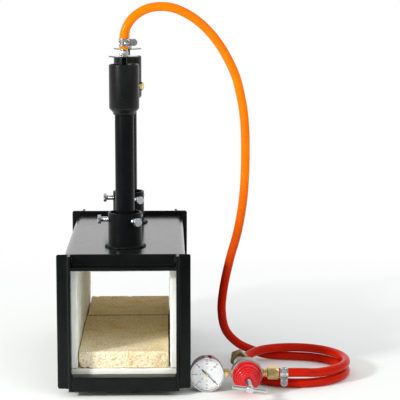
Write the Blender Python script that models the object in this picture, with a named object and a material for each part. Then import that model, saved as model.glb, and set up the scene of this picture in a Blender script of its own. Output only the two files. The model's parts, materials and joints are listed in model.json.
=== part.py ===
"""A gas forge with two burners, and the hose, regulator and gauge that feed the front one.

The body is a folded steel box lined with ceramic fibre. An angle-iron frame closes each
end, and two bricks make the hearth. Each burner is a steel tube that three bolts hold in a
welded collar, with a cast bell, a gas jet and a choke disc on top.

Metres, +Z up. The mouth faces -Y. The origin is on the ground under the body's middle.
"""

import math

import bmesh
import bpy
from mathutils import Quaternion, Vector

X_AXIS = Vector((1, 0, 0))
Y_AXIS = Vector((0, 1, 0))
Z_AXIS = Vector((0, 0, 1))

# Fits and mesh steps
SEAT_GAP = 0.0003
OVERRUN = 0.002
WELD_SINK = 0.001
MERGE_DISTANCE = 0.000001
SMOOTH_ANGLE = math.radians(35)
WIDE_STEPS = 32
NARROW_STEPS = 16
CORNER_STEPS = 5
EASED_STEPS = 4

# End frames, each welded from angle iron, with a channel along the foot
FRAME_WIDTH = 0.230
FRAME_HEIGHT = 0.236
FRAME_CORNER_RADIUS = 0.004
FRAME_GROUND_GAP = 0.010
ANGLE_LEG = 0.025
ANGLE_WALL = 0.005
FRAME_OVERHANG = 0.0085

# Body shell
BODY_LENGTH = 0.460
SHELL_WALL = 0.002
SHELL_BEND_RADIUS = 0.014

# Runners, hat-shaped strips under the body
RUNNER_LENGTH = 0.190
RUNNER_WALL = 0.003
RUNNER_CROWN = 0.026
RUNNER_FLANGE = 0.012
RUNNER_INSET = 0.062

# Lining and hearth
LINER_THICKNESS = 0.025
PORT_RADIUS = 0.0235
BRICK_THICKNESS = 0.027
BRICK_EDGE_RADIUS = 0.0015
BRICK_END_GAP = 0.005
BRICK_SIDE_GAP = 0.0007
HEARTH_JOINT = 0.0008
FRONT_BRICK_SHARE = 0.62

# Burner places along the body
FRONT_BURNER_Y = -0.109
REAR_BURNER_INSET = 0.084

# Burner holder, a collar of wide pipe
HOLDER_RADIUS = 0.03015
HOLDER_WALL = 0.0039
HOLDER_HEIGHT = 0.0617
HOLDER_WELD = 0.0065
HOLDER_BOLT_DROP = 0.013
HOLDER_BOLT_ANGLES = {"left": 180, "front_right": -60, "back_right": 60}

# Hexagon bolts, three-eighths inch
BOLT_RADIUS = 0.00475
BOLT_LENGTH = 0.0254
BOLT_HEAD_FLATS = 0.0143
BOLT_HEAD_HEIGHT = 0.0061
BELL_BOLT_HEAD_HEIGHT = 0.0045
FRONT_BELL_BOLT_ANGLE = 145
REAR_BELL_BOLT_ANGLE = -20

# Burner tube, one-inch pipe
TUBE_RADIUS = 0.01685
TUBE_WALL = 0.00335
TUBE_LENGTH = 0.296
TUBE_DROP = 0.0215

# Bell, a casting that the tube's top end stands in
BELL_LENGTH = 0.0885
BELL_RADIUS = 0.0267
BELL_FOOT_RADIUS = 0.0195
BELL_WALL = 0.0033
BELL_CONE = 0.011
BELL_ROUND = 0.003
BELL_RIM_EDGE = 0.0015
BELL_GRIP = 0.0385
BELL_SHOULDER = 0.003
BELL_THROAT_LENGTH = 0.025
BELL_BOLT_HEIGHT = 0.0305
SPIDER_HEIGHT = 0.066
SPIDER_BOSS_RADIUS = 0.009
SPIDER_BOSS_HEIGHT = 0.012
SPIDER_ARM_WIDTH = 0.005
SPIDER_ARM_HEIGHT = 0.006
SPIDER_ARMS = 3

# Gas jet on the burner's axis, eighth-inch pipe
JET_RADIUS = 0.00515
JET_BORE = 0.0033
JET_TAIL = 0.004
JET_STAND = 0.024
SPIGOT_LENGTH = 0.006
NOZZLE_RADIUS = 0.0042
NOZZLE_TIP_RADIUS = 0.0022
NOZZLE_TIP_LENGTH = 0.005
NOZZLE_LENGTH = 0.0177
NOZZLE_ORIFICE = 0.0006

# Choke
CHOKE_RADIUS = 0.0265
CHOKE_THICKNESS = 0.002
CHOKE_EDGE = 0.0004
CHOKE_STAND = 0.0127
LOCK_NUT_FLATS = 0.0155
LOCK_NUT_HEIGHT = 0.0085

# Hose, its barbs and its clamps
HOSE_RADIUS = 0.008
HOSE_BORE = 0.0054
CUFF_OVERSHOOT = 0.001
BARB_COLLAR_RADIUS = 0.0072
BARB_COLLAR_HEIGHT = 0.002
BARB_ROOT = 0.0043
BARB_CREST = 0.0051
BARB_RIDGES = 3
BURNER_BARB_LENGTH = 0.022
OUTLET_BARB_LENGTH = 0.017
BARB_BORE = 0.0022
CLAMP_WALL = 0.0008
CLAMP_WIDTH = 0.014
CLAMP_SADDLE_DEPTH = 0.0065
CLAMP_SADDLE_LENGTH = 0.013
CLAMP_BARREL_LIFT = 0.0025
CLAMP_BARREL_RADIUS = 0.0062
CLAMP_BARREL_LENGTH = 0.0125
WORM_RADIUS = 0.0028
WORM_HEAD_FLATS = 0.0075
WORM_HEAD_HEIGHT = 0.004
BURNER_CLAMP_ANGLE = 0
REGULATOR_CLAMP_ANGLE = -102

# Regulator, which stands on edge on the ground and faces the mouth's side
REGULATOR_X = 0.213
REGULATOR_Y = -0.228
REGULATOR_Z = 0.0306
BODY_RADIUS = 0.027
BODY_BACK_RADIUS = 0.020
BODY_DEPTH = 0.030
BODY_SHOULDER = 0.008
PORT_DEPTH = 0.016
SIDE_BOSS_RADIUS = 0.0085
SIDE_BOSS_REACH = 0.0275
DIAPHRAGM_RADIUS = 0.0255
DIAPHRAGM_THICKNESS = 0.0015
BONNET_RADIUS = 0.026
BONNET_HEIGHT = 0.038
BONNET_RADIUS_SHARES = (1, 0.865, 0.73, 0.615, 0.52)
BONNET_TOP_SHARES = (0.2, 0.5, 0.66, 0.82, 1)
BONNET_WALL = 0.003
BONNET_EDGE = 0.0015
BUTTON_ROOM_TOP = 0.029
SCREW_RADIUS = 0.0047
SCREW_TIP = 0.0253
SCREW_REACH = 0.094
SCREW_PITCH = 0.002
TEE_HUB_RADIUS = 0.0068
TEE_HUB_LENGTH = 0.014
TEE_BAR_RADIUS = 0.0031
TEE_BAR_LENGTH = 0.0604
TEE_BAR_ANGLE = -8
BUTTON_RADIUS = 0.009
BUTTON_THICKNESS = 0.003
BUTTON_CUP_RADIUS = 0.0062
SPRING_RADIUS = 0.0075
SPRING_WIRE = 0.0009
SPRING_PITCH = 0.0026
SPRING_CURLS = 4
SPRING_CURL_POINTS = 9

# Outlet and inlet fittings
OUTLET_NECK_RADIUS = 0.0055
OUTLET_NECK_LENGTH = 0.0082
OUTLET_NUT_FLATS = 0.0205
OUTLET_NUT_LENGTH = 0.0196
INLET_OFFSET_X = -0.012
INLET_OFFSET_Z = 0.015
INLET_BOSS_RADIUS = 0.009
INLET_BOSS_LENGTH = 0.008
INLET_STEM_RADIUS = 0.0062
INLET_STEM_LENGTH = 0.034
INLET_HEAD_RADIUS = 0.0085
INLET_HEAD_LENGTH = 0.006
INLET_NUT_FLATS = 0.027
INLET_NUT_LENGTH = 0.022
INLET_BORE = 0.002

# Gauge
GAUGE_X = 0.1432
GAUGE_Y = -0.2285
GAUGE_RADIUS = 0.0302
GAUGE_CASE_RADIUS = 0.029
GAUGE_BEZEL = 0.007
GAUGE_DEPTH = 0.034
GAUGE_BACK_EDGE = 0.004
GAUGE_RIM = 0.0032
GAUGE_RECESS = 0.0085
DIAL_THICKNESS = 0.001
DIAL_POST_RADIUS = 0.0012
NEEDLE_TIP = 0.0225
NEEDLE_TAIL = 0.0115
NEEDLE_WIDTH = 0.0016
NEEDLE_HUB_RADIUS = 0.003
NEEDLE_THICKNESS = 0.0007
NEEDLE_LIFT = 0.0012
NEEDLE_ZERO_ANGLE = -45
LENS_THICKNESS = 0.0016
LENS_SINK = 0.0008
STEM_FLATS = 0.014

# Hose route, hand-chosen, from the burner's cuff to the coil's lead-in
HOSE_ROUTE = [
    (0.0015, -0.109, 0.617),
    (0.009, -0.109, 0.634),
    (0.022, -0.109, 0.648),
    (0.041, -0.108, 0.6585),
    (0.064, -0.1065, 0.6623),
    (0.087, -0.104, 0.6597),
    (0.108, -0.101, 0.651),
    (0.129, -0.098, 0.6376),
    (0.150, -0.094, 0.6182),
    (0.1695, -0.090, 0.5934),
    (0.1856, -0.086, 0.5658),
    (0.1983, -0.082, 0.537),
    (0.2067, -0.078, 0.5047),
    (0.2124, -0.074, 0.474),
    (0.2155, -0.070, 0.441),
    (0.2165, -0.066, 0.4044),
    (0.216, -0.062, 0.3584),
    (0.213, -0.058, 0.312),
    (0.204, -0.052, 0.2545),
    (0.189, -0.045, 0.1962),
    (0.1785, -0.038, 0.142),
    (0.1758, -0.029, 0.099),
    (0.184, -0.019, 0.060),
    (0.207, -0.010, 0.033),
    (0.235, -0.0065, 0.0185),
    (0.261, -0.0085, 0.0105),
]
HOSE_POINT_SPACING = 0.030

# Coil on the ground
COIL_X = 0.305
COIL_Y = -0.107
COIL_RADIUS = 0.093
COIL_GROUND_GAP = 0.0003
COIL_LAYER_GAP = 0.001
COIL_START_ANGLE = 84
COIL_CLIMB_FROM = -120
COIL_CLIMB_TO = -240
COIL_LEAVE_ANGLE = -425
COIL_TURN_POINTS = 24

# Sizes that follow from those above
HALF_LENGTH = BODY_LENGTH / 2
REAR_BURNER_Y = HALF_LENGTH - REAR_BURNER_INSET
FRAME_BACK = HALF_LENGTH + SEAT_GAP
SHELL_WIDTH = FRAME_WIDTH - 2 * FRAME_OVERHANG
SHELL_BOTTOM = FRAME_GROUND_GAP + FRAME_OVERHANG
SHELL_TOP = FRAME_GROUND_GAP + FRAME_HEIGHT - FRAME_OVERHANG
SHELL_MIDDLE = (SHELL_BOTTOM + SHELL_TOP) / 2
ROOM_WIDTH = SHELL_WIDTH - 2 * SHELL_WALL - 2 * SEAT_GAP
ROOM_BOTTOM = SHELL_BOTTOM + SHELL_WALL + SEAT_GAP
ROOM_TOP = SHELL_TOP - SHELL_WALL - SEAT_GAP
HEARTH_BOTTOM = ROOM_BOTTOM + LINER_THICKNESS + SEAT_GAP
HEARTH_TOP = HEARTH_BOTTOM + BRICK_THICKNESS
CHAMBER_WIDTH = ROOM_WIDTH - 2 * LINER_THICKNESS

TUBE_TOP = TUBE_LENGTH - TUBE_DROP
BELL_FOOT = TUBE_TOP - BELL_GRIP
BELL_RIM = BELL_FOOT + BELL_LENGTH
JET_FOOT = BELL_FOOT + SPIDER_HEIGHT - JET_TAIL
JET_TOP = BELL_RIM + JET_STAND
CHOKE_FOOT = BELL_RIM + CHOKE_STAND
BARB_FOOT = JET_TOP + SEAT_GAP
CUFF_FOOT = BARB_FOOT + BARB_COLLAR_HEIGHT + SEAT_GAP
CUFF_TOP = CUFF_FOOT + BURNER_BARB_LENGTH + CUFF_OVERSHOOT
CLAMP_INNER = HOSE_RADIUS + SEAT_GAP
CLAMP_OUTER = CLAMP_INNER + CLAMP_WALL

BONNET_FOOT = DIAPHRAGM_THICKNESS + 2 * SEAT_GAP
OUTLET_FOOT = SIDE_BOSS_REACH + SEAT_GAP
OUTLET_NUT_FOOT = OUTLET_FOOT + OUTLET_NECK_LENGTH
OUTLET_BARB_FOOT = OUTLET_NUT_FOOT + OUTLET_NUT_LENGTH
OUTLET_CUFF_FOOT = OUTLET_BARB_FOOT + SEAT_GAP
OUTLET_CUFF_END = OUTLET_CUFF_FOOT + OUTLET_BARB_LENGTH + CUFF_OVERSHOOT
HOSE_DIAMETER = 2 * HOSE_RADIUS


# Outlines


def circle_outline(radius, steps):
    turns = [2 * math.pi * i / steps for i in range(steps)]
    return [(radius * math.cos(a), radius * math.sin(a)) for a in turns]


def hexagon_outline(flats):
    """A hexagon by its width across the flats, with two flats square to X."""
    corner = flats / math.sqrt(3)
    turns = [math.pi / 6 + math.pi * i / 3 for i in range(6)]
    return [(corner * math.cos(a), corner * math.sin(a)) for a in turns]


def rectangle_outline(width, height):
    w, h = width / 2, height / 2
    return [(-w, -h), (w, -h), (w, h), (-w, h)]


def rounded_outline(width, height, radii):
    """A rectangle with a round at each corner: right top, left top, left bottom, right bottom."""
    centres = [(1, 1), (-1, 1), (-1, -1), (1, -1)]
    points = []
    for quarter, ((side, up), radius) in enumerate(zip(centres, radii)):
        middle = (side * (width / 2 - radius), up * (height / 2 - radius))
        steps = CORNER_STEPS if radius else 0
        for i in range(steps + 1):
            turn = math.pi / 2 * (quarter + (i / steps if steps else 0))
            x = middle[0] + radius * math.cos(turn)
            points.append((x, middle[1] + radius * math.sin(turn)))
    return points


def eased_corner(before, corner, after, reach):
    """A profile's corner as a curve, from reach before the corner to reach after it."""
    before, corner, after = Vector(before), Vector(corner), Vector(after)
    start = corner + (before - corner).normalized() * reach
    end = corner + (after - corner).normalized() * reach
    points = []
    for i in range(EASED_STEPS + 1):
        t = i / EASED_STEPS
        points.append(start.lerp(corner, t).lerp(corner.lerp(end, t), t).to_tuple())
    return points


# Meshes


def finish_mesh(name, bm):
    bmesh.ops.remove_doubles(bm, verts=bm.verts, dist=MERGE_DISTANCE)
    bmesh.ops.recalc_face_normals(bm, faces=bm.faces)
    mesh = bpy.data.meshes.new(name)
    bm.to_mesh(mesh)
    bm.free()
    mesh.shade_smooth()
    mesh.set_sharp_from_angle(angle=SMOOTH_ANGLE)
    return mesh


def turned_mesh(name, profile, steps):
    """A (radius, height) profile spun about Z. It is closed, unless both its ends are on the axis."""
    bm = bmesh.new()
    verts = [bm.verts.new((radius, 0, height)) for radius, height in profile]
    edges = [bm.edges.new(pair) for pair in zip(verts, verts[1:])]
    if profile[0][0] > 0:
        edges.append(bm.edges.new((verts[-1], verts[0])))
    turn = {"axis": Z_AXIS, "cent": (0, 0, 0), "angle": 2 * math.pi, "steps": steps}
    bmesh.ops.spin(bm, geom=verts + edges, use_merge=True, **turn)
    return finish_mesh(name, bm)


def prism_mesh(name, outline, low, high):
    """An outline in X and Y, extruded along Z from low to high."""
    bm = bmesh.new()
    face = bm.faces.new([bm.verts.new((x, y, low)) for x, y in outline])
    made = bmesh.ops.extrude_face_region(bm, geom=[face])["geom"]
    raised = [item for item in made if isinstance(item, bmesh.types.BMVert)]
    bmesh.ops.translate(bm, verts=raised, vec=(0, 0, high - low))
    return finish_mesh(name, bm)


# Objects


def finish(name, colour, roughness, metallic):
    material = bpy.data.materials.new(name)
    material.use_nodes = True
    material.diffuse_color = (*colour, 1)
    shader = material.node_tree.nodes["Principled BSDF"]
    shader.inputs["Base Color"].default_value = (*colour, 1)
    shader.inputs["Roughness"].default_value = roughness
    shader.inputs["Metallic"].default_value = metallic
    return material


def place(obj, parent, location, toward, turn):
    """Puts the object under its parent, with its Z axis toward a direction, turned about it in degrees."""
    bpy.context.scene.collection.objects.link(obj)
    obj.parent = parent
    obj.location = location
    aim = Z_AXIS.rotation_difference(Vector(toward))
    obj.rotation_mode = "QUATERNION"
    obj.rotation_quaternion = aim @ Quaternion(Z_AXIS, math.radians(turn))
    return obj


def axis_point(name, parent, location, toward=Z_AXIS, turn=0):
    return place(bpy.data.objects.new(name, None), parent, location, toward, turn)


def piece(mesh, material, parent=None, location=(0, 0, 0), toward=Z_AXIS, turn=0):
    mesh.materials.append(material)
    return place(bpy.data.objects.new(mesh.name, mesh), parent, location, toward, turn)


def helper(mesh, parent=None, location=(0, 0, 0), toward=Z_AXIS, turn=0):
    obj = place(bpy.data.objects.new(mesh.name, mesh), parent, location, toward, turn)
    obj.hide_render = True
    obj.display_type = "WIRE"
    return obj


def combine(obj, other, operation):
    modifier = obj.modifiers.new(other.name, "BOOLEAN")
    modifier.operation = operation
    modifier.solver = "EXACT"
    modifier.object = other
    return obj


def fuse(obj, *others):
    for other in others:
        combine(obj, other, "UNION")
    return obj


def cut(obj, *others):
    for other in others:
        combine(obj, other, "DIFFERENCE")
    return obj


def tube_along(name, points, radius, sides, material):
    """A round tube along points, as a curve with a bevel and closed ends."""
    curve = bpy.data.curves.new(name, "CURVE")
    curve.dimensions = "3D"
    curve.bevel_depth = radius
    curve.bevel_resolution = sides // 2 - 2
    curve.use_fill_caps = True
    spline = curve.splines.new("POLY")
    spline.points.add(len(points) - 1)
    for target, point in zip(spline.points, points):
        target.co = (*point, 1)
    curve.materials.append(material)
    obj = bpy.data.objects.new(name, curve)
    bpy.context.scene.collection.objects.link(obj)
    return obj


# Body


def end_frame(name, steel, facing):
    """One end frame. Its flat ring lies on the body's end, and its lips stand outward round the mouth."""
    middle = FRAME_GROUND_GAP + FRAME_HEIGHT / 2
    place_at = axis_point(name + "_plane", None, (0, facing * FRAME_BACK, middle), Y_AXIS * facing)
    # The plane's own X runs along the width and its own Y along the height, up or down.
    up = -1 if facing > 0 else 1
    radii = [FRAME_CORNER_RADIUS] * 4
    ring = piece(
        prism_mesh(name, rounded_outline(FRAME_WIDTH, FRAME_HEIGHT, radii), 0, ANGLE_WALL),
        steel,
        place_at,
    )
    mouth_width = FRAME_WIDTH - 2 * ANGLE_LEG
    mouth_height = FRAME_HEIGHT - 2 * ANGLE_LEG
    mouth = rectangle_outline(mouth_width, mouth_height)
    cut(ring, helper(prism_mesh(name + "_mouth", mouth, -OVERRUN, ANGLE_WALL + OVERRUN), place_at))
    root = ANGLE_WALL / 2

    def lip(label, width, height, x, y, low):
        outline = rectangle_outline(width, height)
        return helper(prism_mesh(f"{name}_{label}", outline, low, ANGLE_LEG), place_at, (x, y, 0))

    side = mouth_width / 2 + ANGLE_WALL / 2
    edge = mouth_height / 2 + ANGLE_WALL / 2
    web = mouth_width + ANGLE_WALL
    foot = -up * (FRAME_HEIGHT / 2 - ANGLE_LEG / 2)
    return fuse(
        ring,
        lip("left_lip", ANGLE_WALL, FRAME_HEIGHT, -side, 0, root),
        lip("right_lip", ANGLE_WALL, FRAME_HEIGHT, side, 0, root),
        lip("top_lip", web, ANGLE_WALL, 0, up * edge, root),
        lip("ledge", web, ANGLE_WALL, 0, -up * edge, root),
        lip("foot_face", web, ANGLE_LEG, 0, foot, ANGLE_LEG - ANGLE_WALL),
    )


def body_shell(steel):
    outer = rounded_outline(SHELL_WIDTH, SHELL_TOP - SHELL_BOTTOM, [SHELL_BEND_RADIUS] * 4)
    inner = rounded_outline(
        SHELL_WIDTH - 2 * SHELL_WALL,
        SHELL_TOP - SHELL_BOTTOM - 2 * SHELL_WALL,
        [SHELL_BEND_RADIUS - SHELL_WALL] * 4,
    )
    along = axis_point("body_axis", None, (0, 0, SHELL_MIDDLE), Y_AXIS)
    shell = piece(prism_mesh("body_shell", outer, -HALF_LENGTH, HALF_LENGTH), steel, along)
    reach = HALF_LENGTH + OVERRUN
    cut(shell, helper(prism_mesh("shell_room", inner, -reach, reach), along))
    return along


def burner_port(name, y):
    height = SHELL_TOP - ROOM_TOP + LINER_THICKNESS + 2 * OVERRUN
    outline = circle_outline(PORT_RADIUS, WIDE_STEPS)
    low = SHELL_TOP + OVERRUN - height
    return helper(prism_mesh(name, outline, 0, height), None, (0, y, low))


def lining(fibre, along):
    """Four pads of ceramic fibre. The body axis's own Y points down."""
    half = HALF_LENGTH - SEAT_GAP
    bend = SHELL_BEND_RADIUS - SHELL_WALL
    room_height = ROOM_TOP - ROOM_BOTTOM
    slab = room_height / 2 - LINER_THICKNESS / 2
    lower = rounded_outline(ROOM_WIDTH, LINER_THICKNESS, [bend, bend, 0, 0])
    upper = rounded_outline(ROOM_WIDTH, LINER_THICKNESS, [0, 0, bend, bend])
    wall_height = room_height - 2 * LINER_THICKNESS - 2 * SEAT_GAP
    wall = rectangle_outline(LINER_THICKNESS, wall_height)
    beside = ROOM_WIDTH / 2 - LINER_THICKNESS / 2
    piece(prism_mesh("floor_liner", lower, -half, half), fibre, along, (0, slab, 0))
    roof = piece(prism_mesh("roof_liner", upper, -half, half), fibre, along, (0, -slab, 0))
    piece(prism_mesh("left_liner", wall, -half, half), fibre, along, (-beside, 0, 0))
    piece(prism_mesh("right_liner", wall, -half, half), fibre, along, (beside, 0, 0))
    return roof


def hearth(brick):
    """Two bricks end to end on the floor pad, with a thin joint between them."""
    width = CHAMBER_WIDTH - 2 * BRICK_SIDE_GAP
    run = BODY_LENGTH - 2 * BRICK_END_GAP
    joint = -run / 2 + FRONT_BRICK_SHARE * run
    spans = {
        "hearth_brick_front": (-run / 2, joint - HEARTH_JOINT / 2),
        "hearth_brick_rear": (joint + HEARTH_JOINT / 2, run / 2),
    }
    for name, (front, back) in spans.items():
        outline = rectangle_outline(width, back - front)
        mesh = prism_mesh(name, outline, HEARTH_BOTTOM, HEARTH_TOP)
        block = piece(mesh, brick, None, (0, (front + back) / 2, 0))
        edge = block.modifiers.new("worn_edges", "BEVEL")
        edge.width = BRICK_EDGE_RADIUS
        edge.segments = 2


def runner(name, steel, y):
    """A hat-shaped strip across the body: crown under the shell, flanges on the ground."""
    crown = RUNNER_CROWN / 2
    foot = crown + RUNNER_FLANGE
    top = SHELL_BOTTOM - SEAT_GAP
    outer = [(crown, top), (-crown, top), (-crown, RUNNER_WALL), (-foot, RUNNER_WALL), (-foot, 0)]
    inner = crown - RUNNER_WALL
    inner_top = top - RUNNER_WALL
    under = [(-inner, 0), (-inner, inner_top), (inner, inner_top), (inner, 0), (foot, 0)]
    outline = outer + under + [(foot, RUNNER_WALL), (crown, RUNNER_WALL)]
    mesh = prism_mesh(name, outline, -RUNNER_LENGTH / 2, RUNNER_LENGTH / 2)
    stand = axis_point(name + "_plane", None, (0, y, 0), X_AXIS)
    # The plane's own X points down and its own Y along the body, so the outline is turned a quarter.
    piece(mesh, steel, stand, (0, 0, 0), Z_AXIS, 90)


# Burners


def bolt(name, zinc, parent, angle, height, tip_radius, length, head_height):
    """A bolt pointing outward from the burner's axis, its shank fused to its head."""
    turn = math.radians(angle)
    outward = Vector((math.cos(turn), math.sin(turn), 0))
    at = outward * tip_radius + Vector((0, 0, height))
    mesh = prism_mesh(name, hexagon_outline(BOLT_HEAD_FLATS), length, length + head_height)
    head = piece(mesh, zinc, parent, at, outward)
    profile = [
        (0, 0),
        (BOLT_RADIUS * 0.8, 0),
        (BOLT_RADIUS, BOLT_RADIUS / 4),
        (BOLT_RADIUS, length + head_height / 2),
        (0, length + head_height / 2),
    ]
    shank = helper(turned_mesh(name + "_shank", profile, NARROW_STEPS), parent, at, outward)
    return fuse(head, shank)


def bolt_hole(name, parent, angle, height, low, high):
    turn = math.radians(angle)
    outward = Vector((math.cos(turn), math.sin(turn), 0))
    outline = circle_outline(BOLT_RADIUS + SEAT_GAP, NARROW_STEPS)
    at = Vector((0, 0, height))
    return helper(prism_mesh(name, outline, low, high), parent, at, outward)


def holder(name, steel, zinc, axis):
    """A collar of wide pipe with a weld round its foot and three tapped holes."""
    inner = HOLDER_RADIUS - HOLDER_WALL
    toe = HOLDER_RADIUS + HOLDER_WELD
    profile = [
        (inner, SEAT_GAP),
        (toe, SEAT_GAP),
        (toe - HOLDER_WELD / 8, HOLDER_WELD / 3),
        (HOLDER_RADIUS + HOLDER_WELD / 3, HOLDER_WELD * 0.8),
        (HOLDER_RADIUS, HOLDER_WELD),
        (HOLDER_RADIUS, HOLDER_HEIGHT),
        (inner, HOLDER_HEIGHT),
    ]
    collar = piece(turned_mesh(name + "_burner_holder", profile, WIDE_STEPS), steel, axis)
    height = HOLDER_HEIGHT - HOLDER_BOLT_DROP
    tip = TUBE_RADIUS + SEAT_GAP
    for side, angle in HOLDER_BOLT_ANGLES.items():
        label = f"{name}_holder_bolt_{side}"
        reach = HOLDER_RADIUS + OVERRUN
        cut(collar, bolt_hole(label + "_hole", axis, angle, height, inner - OVERRUN, reach))
        bolt(label, zinc, axis, angle, height, tip, BOLT_LENGTH, BOLT_HEAD_HEIGHT)


def bell(name, cast, plate, axis, bolt_angle):
    """A cast bell on the tube's end, with a three-armed spider that carries the gas jet."""
    bore = TUBE_RADIUS + SEAT_GAP
    throat = TUBE_RADIUS - TUBE_WALL
    mouth = BELL_RADIUS - BELL_WALL
    seat = BELL_GRIP + SEAT_GAP
    flare = seat + BELL_SHOULDER
    foot_edge = (BELL_FOOT_RADIUS, 0)
    neck = (BELL_FOOT_RADIUS, BELL_ROUND)
    shoulder = (BELL_RADIUS, BELL_CONE)
    rim = (BELL_RADIUS, BELL_LENGTH - BELL_RIM_EDGE)
    profile = [
        (bore, 0),
        foot_edge,
        *eased_corner(foot_edge, neck, shoulder, BELL_ROUND * 0.9),
        *eased_corner(neck, shoulder, rim, BELL_ROUND),
        rim,
        (BELL_RADIUS - BELL_RIM_EDGE, BELL_LENGTH),
        (mouth, BELL_LENGTH),
        (mouth, flare + BELL_THROAT_LENGTH),
        ((mouth + throat) / 2, flare + BELL_THROAT_LENGTH / 3),
        (throat, flare),
        (throat, seat),
        (bore, seat),
    ]
    foot = (0, 0, BELL_FOOT)
    casting = piece(turned_mesh(name + "_burner_bell", profile, WIDE_STEPS), cast, axis, foot)
    boss_top = SPIDER_HEIGHT + SPIDER_BOSS_HEIGHT
    boss_outline = circle_outline(SPIDER_BOSS_RADIUS, NARROW_STEPS)
    arm_low = SPIDER_HEIGHT + (SPIDER_BOSS_HEIGHT - SPIDER_ARM_HEIGHT) / 2
    arm_high = arm_low + SPIDER_ARM_HEIGHT
    arm_length = mouth + WELD_SINK - SPIDER_BOSS_RADIUS / 2
    for i in range(SPIDER_ARMS):
        turn = 2 * math.pi * i / SPIDER_ARMS + math.pi / 2
        middle = SPIDER_BOSS_RADIUS / 2 + arm_length / 2
        at = (middle * math.cos(turn), middle * math.sin(turn), BELL_FOOT)
        outline = rectangle_outline(arm_length, SPIDER_ARM_WIDTH)
        arm = prism_mesh(f"{name}_spider_arm_{i}", outline, arm_low, arm_high)
        fuse(casting, helper(arm, axis, at, Z_AXIS, math.degrees(turn)))
    boss = prism_mesh(name + "_spider_boss", boss_outline, SPIDER_HEIGHT, boss_top)
    fuse(casting, helper(boss, axis, foot))
    jet_hole = circle_outline(JET_RADIUS + SEAT_GAP, NARROW_STEPS)
    hole = prism_mesh(name + "_jet_hole", jet_hole, SPIDER_HEIGHT - OVERRUN, boss_top + OVERRUN)
    cut(casting, helper(hole, axis, foot))
    height = BELL_FOOT + BELL_BOLT_HEIGHT
    label = name + "_bell_screw"
    reach = BELL_RADIUS + OVERRUN
    cut(casting, bolt_hole(label + "_hole", axis, bolt_angle, height, throat, reach))
    tip = TUBE_RADIUS + SEAT_GAP
    length = BELL_RADIUS + SEAT_GAP - tip
    bolt(label, plate, axis, bolt_angle, height, tip, length, BELL_BOLT_HEAD_HEIGHT)


def gas_jet(name, steel, brass, axis):
    """The jet pipe down the bell's middle, the nozzle in its foot and the barb on its top."""
    pipe = [(JET_BORE, JET_FOOT), (JET_RADIUS, JET_FOOT), (JET_RADIUS, JET_TOP), (JET_BORE, JET_TOP)]
    piece(turned_mesh(name + "_jet_pipe", pipe, NARROW_STEPS), steel, axis)
    spigot = JET_BORE - SEAT_GAP
    shoulder = JET_FOOT - SEAT_GAP
    tip = shoulder - NOZZLE_LENGTH
    nozzle = [
        (NOZZLE_ORIFICE, tip),
        (NOZZLE_TIP_RADIUS, tip),
        (NOZZLE_RADIUS, tip + NOZZLE_TIP_LENGTH),
        (NOZZLE_RADIUS, shoulder),
        (spigot, shoulder),
        (spigot, JET_FOOT + SPIGOT_LENGTH),
        (NOZZLE_ORIFICE, JET_FOOT + SPIGOT_LENGTH),
    ]
    piece(turned_mesh(name + "_jet_nozzle", nozzle, NARROW_STEPS), brass, axis)
    barb = [(BARB_BORE, -SPIGOT_LENGTH), (spigot, -SPIGOT_LENGTH), (spigot, 0)]
    barb += barb_profile(BARB_COLLAR_RADIUS, BURNER_BARB_LENGTH)
    mesh = turned_mesh(name + "_hose_barb", barb, NARROW_STEPS)
    piece(mesh, brass, axis, (0, 0, BARB_FOOT))


def barb_profile(collar_radius, length):
    """Collar, then ridges that slope up one way and drop back the other, as a hose barb's do."""
    collar = BARB_COLLAR_HEIGHT
    step = length / BARB_RIDGES
    profile = [(collar_radius, 0), (collar_radius, collar), (BARB_ROOT, collar)]
    for i in range(BARB_RIDGES):
        low = collar + i * step
        profile += [(BARB_CREST, low + step / 3), (BARB_ROOT, low + step)]
    return profile + [(BARB_BORE, collar + length)]


def choke(name, plate, zinc, axis):
    """The choke disc and its lock nut, which travel together on the jet pipe's thread."""
    bore = JET_RADIUS + SEAT_GAP
    disc = [
        (bore, 0),
        (CHOKE_RADIUS - CHOKE_EDGE, 0),
        (CHOKE_RADIUS, CHOKE_EDGE),
        (CHOKE_RADIUS, CHOKE_THICKNESS),
        (bore, CHOKE_THICKNESS),
    ]
    carrier = axis_point(name + "_choke", axis, (0, 0, CHOKE_FOOT))
    piece(turned_mesh(name + "_choke_disc", disc, WIDE_STEPS), plate, carrier)
    low = CHOKE_THICKNESS + SEAT_GAP
    outline = hexagon_outline(LOCK_NUT_FLATS)
    mesh = prism_mesh(name + "_lock_nut", outline, low, low + LOCK_NUT_HEIGHT)
    nut = piece(mesh, zinc, carrier)
    hole = circle_outline(bore, NARROW_STEPS)
    top = low + LOCK_NUT_HEIGHT + OVERRUN
    cut(nut, helper(prism_mesh(name + "_nut_hole", hole, low - OVERRUN, top), carrier))


def burner(name, y, finishes, bell_bolt_angle, bell_bolt_finish):
    axis = axis_point(name + "_burner_axis", None, (0, y, SHELL_TOP))
    holder(name, finishes["black"], finishes["zinc"], axis)
    bore = TUBE_RADIUS - TUBE_WALL
    foot = -TUBE_DROP
    tube = [(bore, foot), (TUBE_RADIUS, foot), (TUBE_RADIUS, TUBE_TOP), (bore, TUBE_TOP)]
    piece(turned_mesh(name + "_burner_tube", tube, WIDE_STEPS), finishes["black"], axis)
    bell(name, finishes["black"], finishes[bell_bolt_finish], axis, bell_bolt_angle)
    gas_jet(name, finishes["black"], finishes["brass"], axis)
    choke(name, finishes["plate"], finishes["zinc"], axis)
    return axis


# Hose


def hose_cuff(name, rubber, parent, location, toward, length):
    """The hose's end over a barb."""
    profile = [(HOSE_BORE, 0), (HOSE_RADIUS, 0), (HOSE_RADIUS, length), (HOSE_BORE, length)]
    piece(turned_mesh(name, profile, NARROW_STEPS), rubber, parent, location, toward)


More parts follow.
